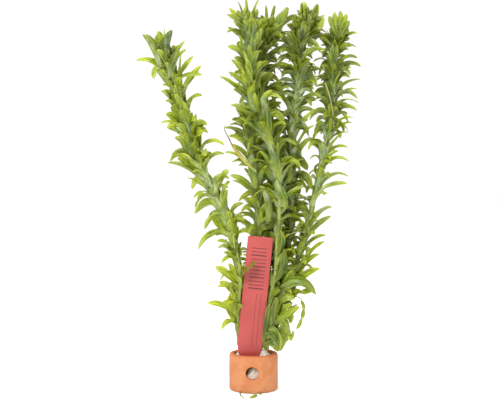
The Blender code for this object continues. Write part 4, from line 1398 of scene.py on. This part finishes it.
def make_label(look, ink):
    """The stick label with softened edges, and generic ruled bars and lines where a real one is printed."""
    place = label_place()
    half = LABEL_THICK / 2
    loops = []
    inner = half - LABEL_BEVEL
    for z, inset in ((-half, LABEL_SOFT), (-inner, 0.0), (inner, 0.0), (half, LABEL_SOFT)):
        loop = []
        for x, y in label_outline(0):
            drawn_in = inset if y < LABEL_LENGTH / 2 else -inset
            loop.append(place @ Vector((x * (1 - inset / 7), y + drawn_in, z)))
        loops.append(loop)
    attach(mesh_object("plant_label_fine", *prism(loops), look), "plant_label")
    bars = [(*BARS_ACROSS, BARS_FOOT + BAR_STEP * i, BAR_HEIGHTS[i % 3]) for i in range(BAR_COUNT)]
    bars += [(x, x + LINE_WIDTH, LINE_FOOT, LINE_LENGTH) for x in LINES_ACROSS]
    points, faces = [], []
    for left, right, low, tall in bars:
        corners = ((left, low), (right, low), (right, low + tall), (left, low + tall))
        levels = (half + 0.01, half + 0.035)
        box, sides = prism([[place @ Vector((x, y, z)) for x, y in corners] for z in levels])
        faces += [tuple(i + len(points) for i in side) for side in sides]
        points += box
    attach(mesh_object("label_ruling", points, faces, ink))


def make_wool(look):
    """The wool: the CAD plug's own shape, roughened into matted fibre."""
    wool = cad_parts["wool_plug"].copy()
    wool.data = wool.data.copy()
    wool.name = "wool_plug_fine"
    wool.parent = None
    bpy.context.scene.collection.objects.link(wool)
    wool.data.materials.clear()
    wool.data.materials.append(look)
    welded = bmesh.new()
    welded.from_mesh(wool.data)
    bmesh.ops.remove_doubles(welded, verts=welded.verts, dist=0.00001)
    pad = Matrix.LocRotScale(Vector(WOOL_PAD[0]) * MM, None, Vector(WOOL_PAD[1]) * MM)
    bmesh.ops.create_icosphere(welded, subdivisions=3, radius=1, matrix=pad)
    welded.to_mesh(wool.data)
    welded.free()
    remesh(wool, WOOL_VOXEL, 2)
    normals = [vertex.normal.copy() for vertex in wool.data.vertices]
    for vertex, normal in zip(wool.data.vertices, normals):
        p = vertex.co / MM
        rough = 0.30 * noise.noise(p * 0.8) + 0.16 * noise.noise(p * 2.3)
        free = smooth_step(0.3, 1.5, p.z)
        vertex.co += normal * (rough - 0.1) * MM * free
        if p.z > WOOL_TOP - 2 and abs(p.x) > 2.5 and p.y < 1:
            lumps = [
                tall * math.exp(-(((p.x - x) / wide) ** 2 + ((p.y - y) / deep) ** 2))
                for x, y, wide, deep, tall in WOOL_LUMPS
            ]
            vertex.co.z += MM * sum(lumps)
    wool.data.shade_smooth()
    attach(wool, "wool_plug")


def thread(piece, route, radius, tint):
    """A thin root: a tapering tube along a smooth curve."""
    line = smooth_route(route, 6)
    loops = []
    for i, point in enumerate(line):
        direction = (line[min(i + 1, len(line) - 1)] - line[max(i - 1, 0)]).normalized()
        turn = direction.to_track_quat("Z", "X").to_matrix()
        wide = radius * (1 - 0.6 * i / len(line))
        loops.append(piece.circle(point, turn.col[0], turn.col[1], wide, THREAD_SIDES, tint))
    piece.loft(loops, piece.add(line[-1] + (line[-1] - line[-2]) * 0.2, tint))


def loose_leaf(piece, points, width, tone, crumple=1, kind=""):
    """A leaf or scrap that is placed by its own curve."""
    curve = [Vector(p) for p in points]
    run = (curve[3] - curve[0]).normalized()
    facing = Vector((0, -1, 0.4)) if abs(run.y) < 0.8 else Vector((0, 0, 1))
    leaf = {"curve": curve, "width": width, "across": run.cross(facing), "roll": 0}
    leaf.update(tone=tone, kind=kind, crumple=crumple)
    blade(piece, leaf)


def bowed(start, end, bow):
    """A leaf's curve between two points, with its middle moved aside."""
    a, b, bow = Vector(start), Vector(end), Vector(bow)
    return a, a.lerp(b, 0.33) + bow, a.lerp(b, 0.67) + bow, b


def make_trailing_bits(look):
    """What trails below the ring's front edge, on the surface: a root thread and two scraps of leaf."""
    piece = Piece("trailing_bits", SEEDS["trailing_bits"])
    thread(piece, TRAIL, 0.3, MID)
    for *points, width, tone in LEAF_SCRAPS:
        loose_leaf(piece, points, width, tone)
    for point in piece.points:
        point.z = max(SURFACE_GAP, point.z)
    piece.finish(look)


def make_loose_leaves(look):
    piece = Piece("loose_leaves", SEEDS["loose_leaves"])
    for a, b, c, d, width, tone, *more in LOOSE_LEAVES:
        loose_leaf(piece, (a, b, c, d), width, tone, *more)
    for foot, end, width, tone in TIP_LEAVES:
        loose_leaf(piece, bowed(foot, end, TIP_BOW), width, tone, TIP_CRUMPLE)
    piece.finish(look)


def make_arching_leaves(look):
    piece = Piece("arching_leaves", SEEDS["arching_leaves"])
    chance = piece.chance
    for name, side, reach, low, high, count in ARCHING:
        line = smooth_route(STEMS[name]["route"])
        for i in range(count):
            height = low + (high - low) * (i + chance.uniform(0.2, 0.8)) / count
            foot = min(line, key=lambda point: abs(point.z - height))
            out = side * reach * chance.uniform(0.7, 1.1)
            depth = chance.uniform(-4, 4)
            rise = chance.uniform(2, 5)
            levels = ((0.1, 0), (0.45, rise), (0.8, rise * 0.8), (1, rise * 0.4 - chance.uniform(0, 6)))
            points = [foot + Vector((out * share, depth * share, level)) for share, level in levels]
            loose_leaf(piece, points, chance.uniform(2.4, 3.6), chance.uniform(0, 0.3))
    piece.finish(look)


def make_dying_leaf(look):
    """A yellowed leaf with a thin curled brown tip, in front of the bunch's left edge."""
    piece = Piece("dying_leaf", SEEDS["dying_leaf"])
    loose_leaf(piece, DYING_LEAF, 2.5, 0.7, 1.6, "dying")
    thread(piece, DYING_TIP, 0.34, OLIVE)
    piece.finish(look)


def make_hanging_sprig(look):
    """A thin side shoot with small leaves that hangs at the right."""
    piece = Piece("hanging_sprig", SEEDS["hanging_sprig"])
    thread(piece, SPRIG, 0.32, OLIVE)
    for start, end, width in SPRIG_LEAVES:
        loose_leaf(piece, bowed(start, end, SPRIG_BOW), width, 0.6)
    piece.finish(look)


def make_roots(look):
    """Pale adventitious roots that hang from the nodes."""
    piece = Piece("pale_roots")
    for route, radius in ROOTS:
        thread(piece, route, radius, ROOT_CREAM)
    piece.finish(look)


def stand(name, data, place, direction):
    """Adds a light or a camera at a place, turned to look along a direction."""
    made = bpy.data.objects.new(name, data)
    made.location = place
    made.rotation_euler = direction.to_track_quat("-Z", "Y").to_euler()
    bpy.context.scene.collection.objects.link(made)
    return made


def make_stage():
    side = FLOOR_SIDE / 2
    corners = [(-side, -side, 0), (side, -side, 0), (side, side, 0), (-side, side, 0)]
    mesh_object("floor", corners, [(0, 1, 2, 3)], plain_material("pale_floor", WHITE, 0.9))
    world = bpy.data.worlds.new("studio")
    bpy.context.scene.world = world
    world.use_nodes = True
    sky = world.node_tree.nodes["Background"]
    sky.inputs["Color"].default_value = (1, 1, 1, 1)
    sky.inputs["Strength"].default_value = WORLD_LIGHT
    bpy.context.scene.view_settings.view_transform = "Standard"
    for name, place, size, power in LIGHTS:
        data = bpy.data.lights.new(name, "AREA")
        data.shape = "DISK"
        data.size = size
        data.energy = power
        stand(name, data, place, LIGHT_AIM - Vector(place))


def make_camera():
    data = bpy.data.cameras.new("camera")
    data.lens = CAMERA_LENS
    data.sensor_width = 36
    data.clip_start = 0.01
    away = Vector((0, -math.cos(CAMERA_TILT), math.sin(CAMERA_TILT)))
    place = (CAMERA_AIM + away * CAMERA_DISTANCE) * MM
    bpy.context.scene.camera = stand("camera", data, place, -away)


def main():
    make_camera()
    make_stage()
    leaf_look = leaf_material()
    make_ring(clay_material())
    make_label(label_material(), plain_material("label_ink", INK, 0.5))
    make_wool(wool_material())
    grown = grow()
    leaves = dress_leaves(grown, fixed_shapes())
    for name, spec in STEMS.items():
        make_cutting(name, spec, grown[name], leaves[name], leaf_look)
    make_trailing_bits(leaf_look)
    make_loose_leaves(leaf_look)
    make_arching_leaves(leaf_look)
    make_dying_leaf(leaf_look)
    make_hanging_sprig(leaf_look)
    make_roots(leaf_look)


main()
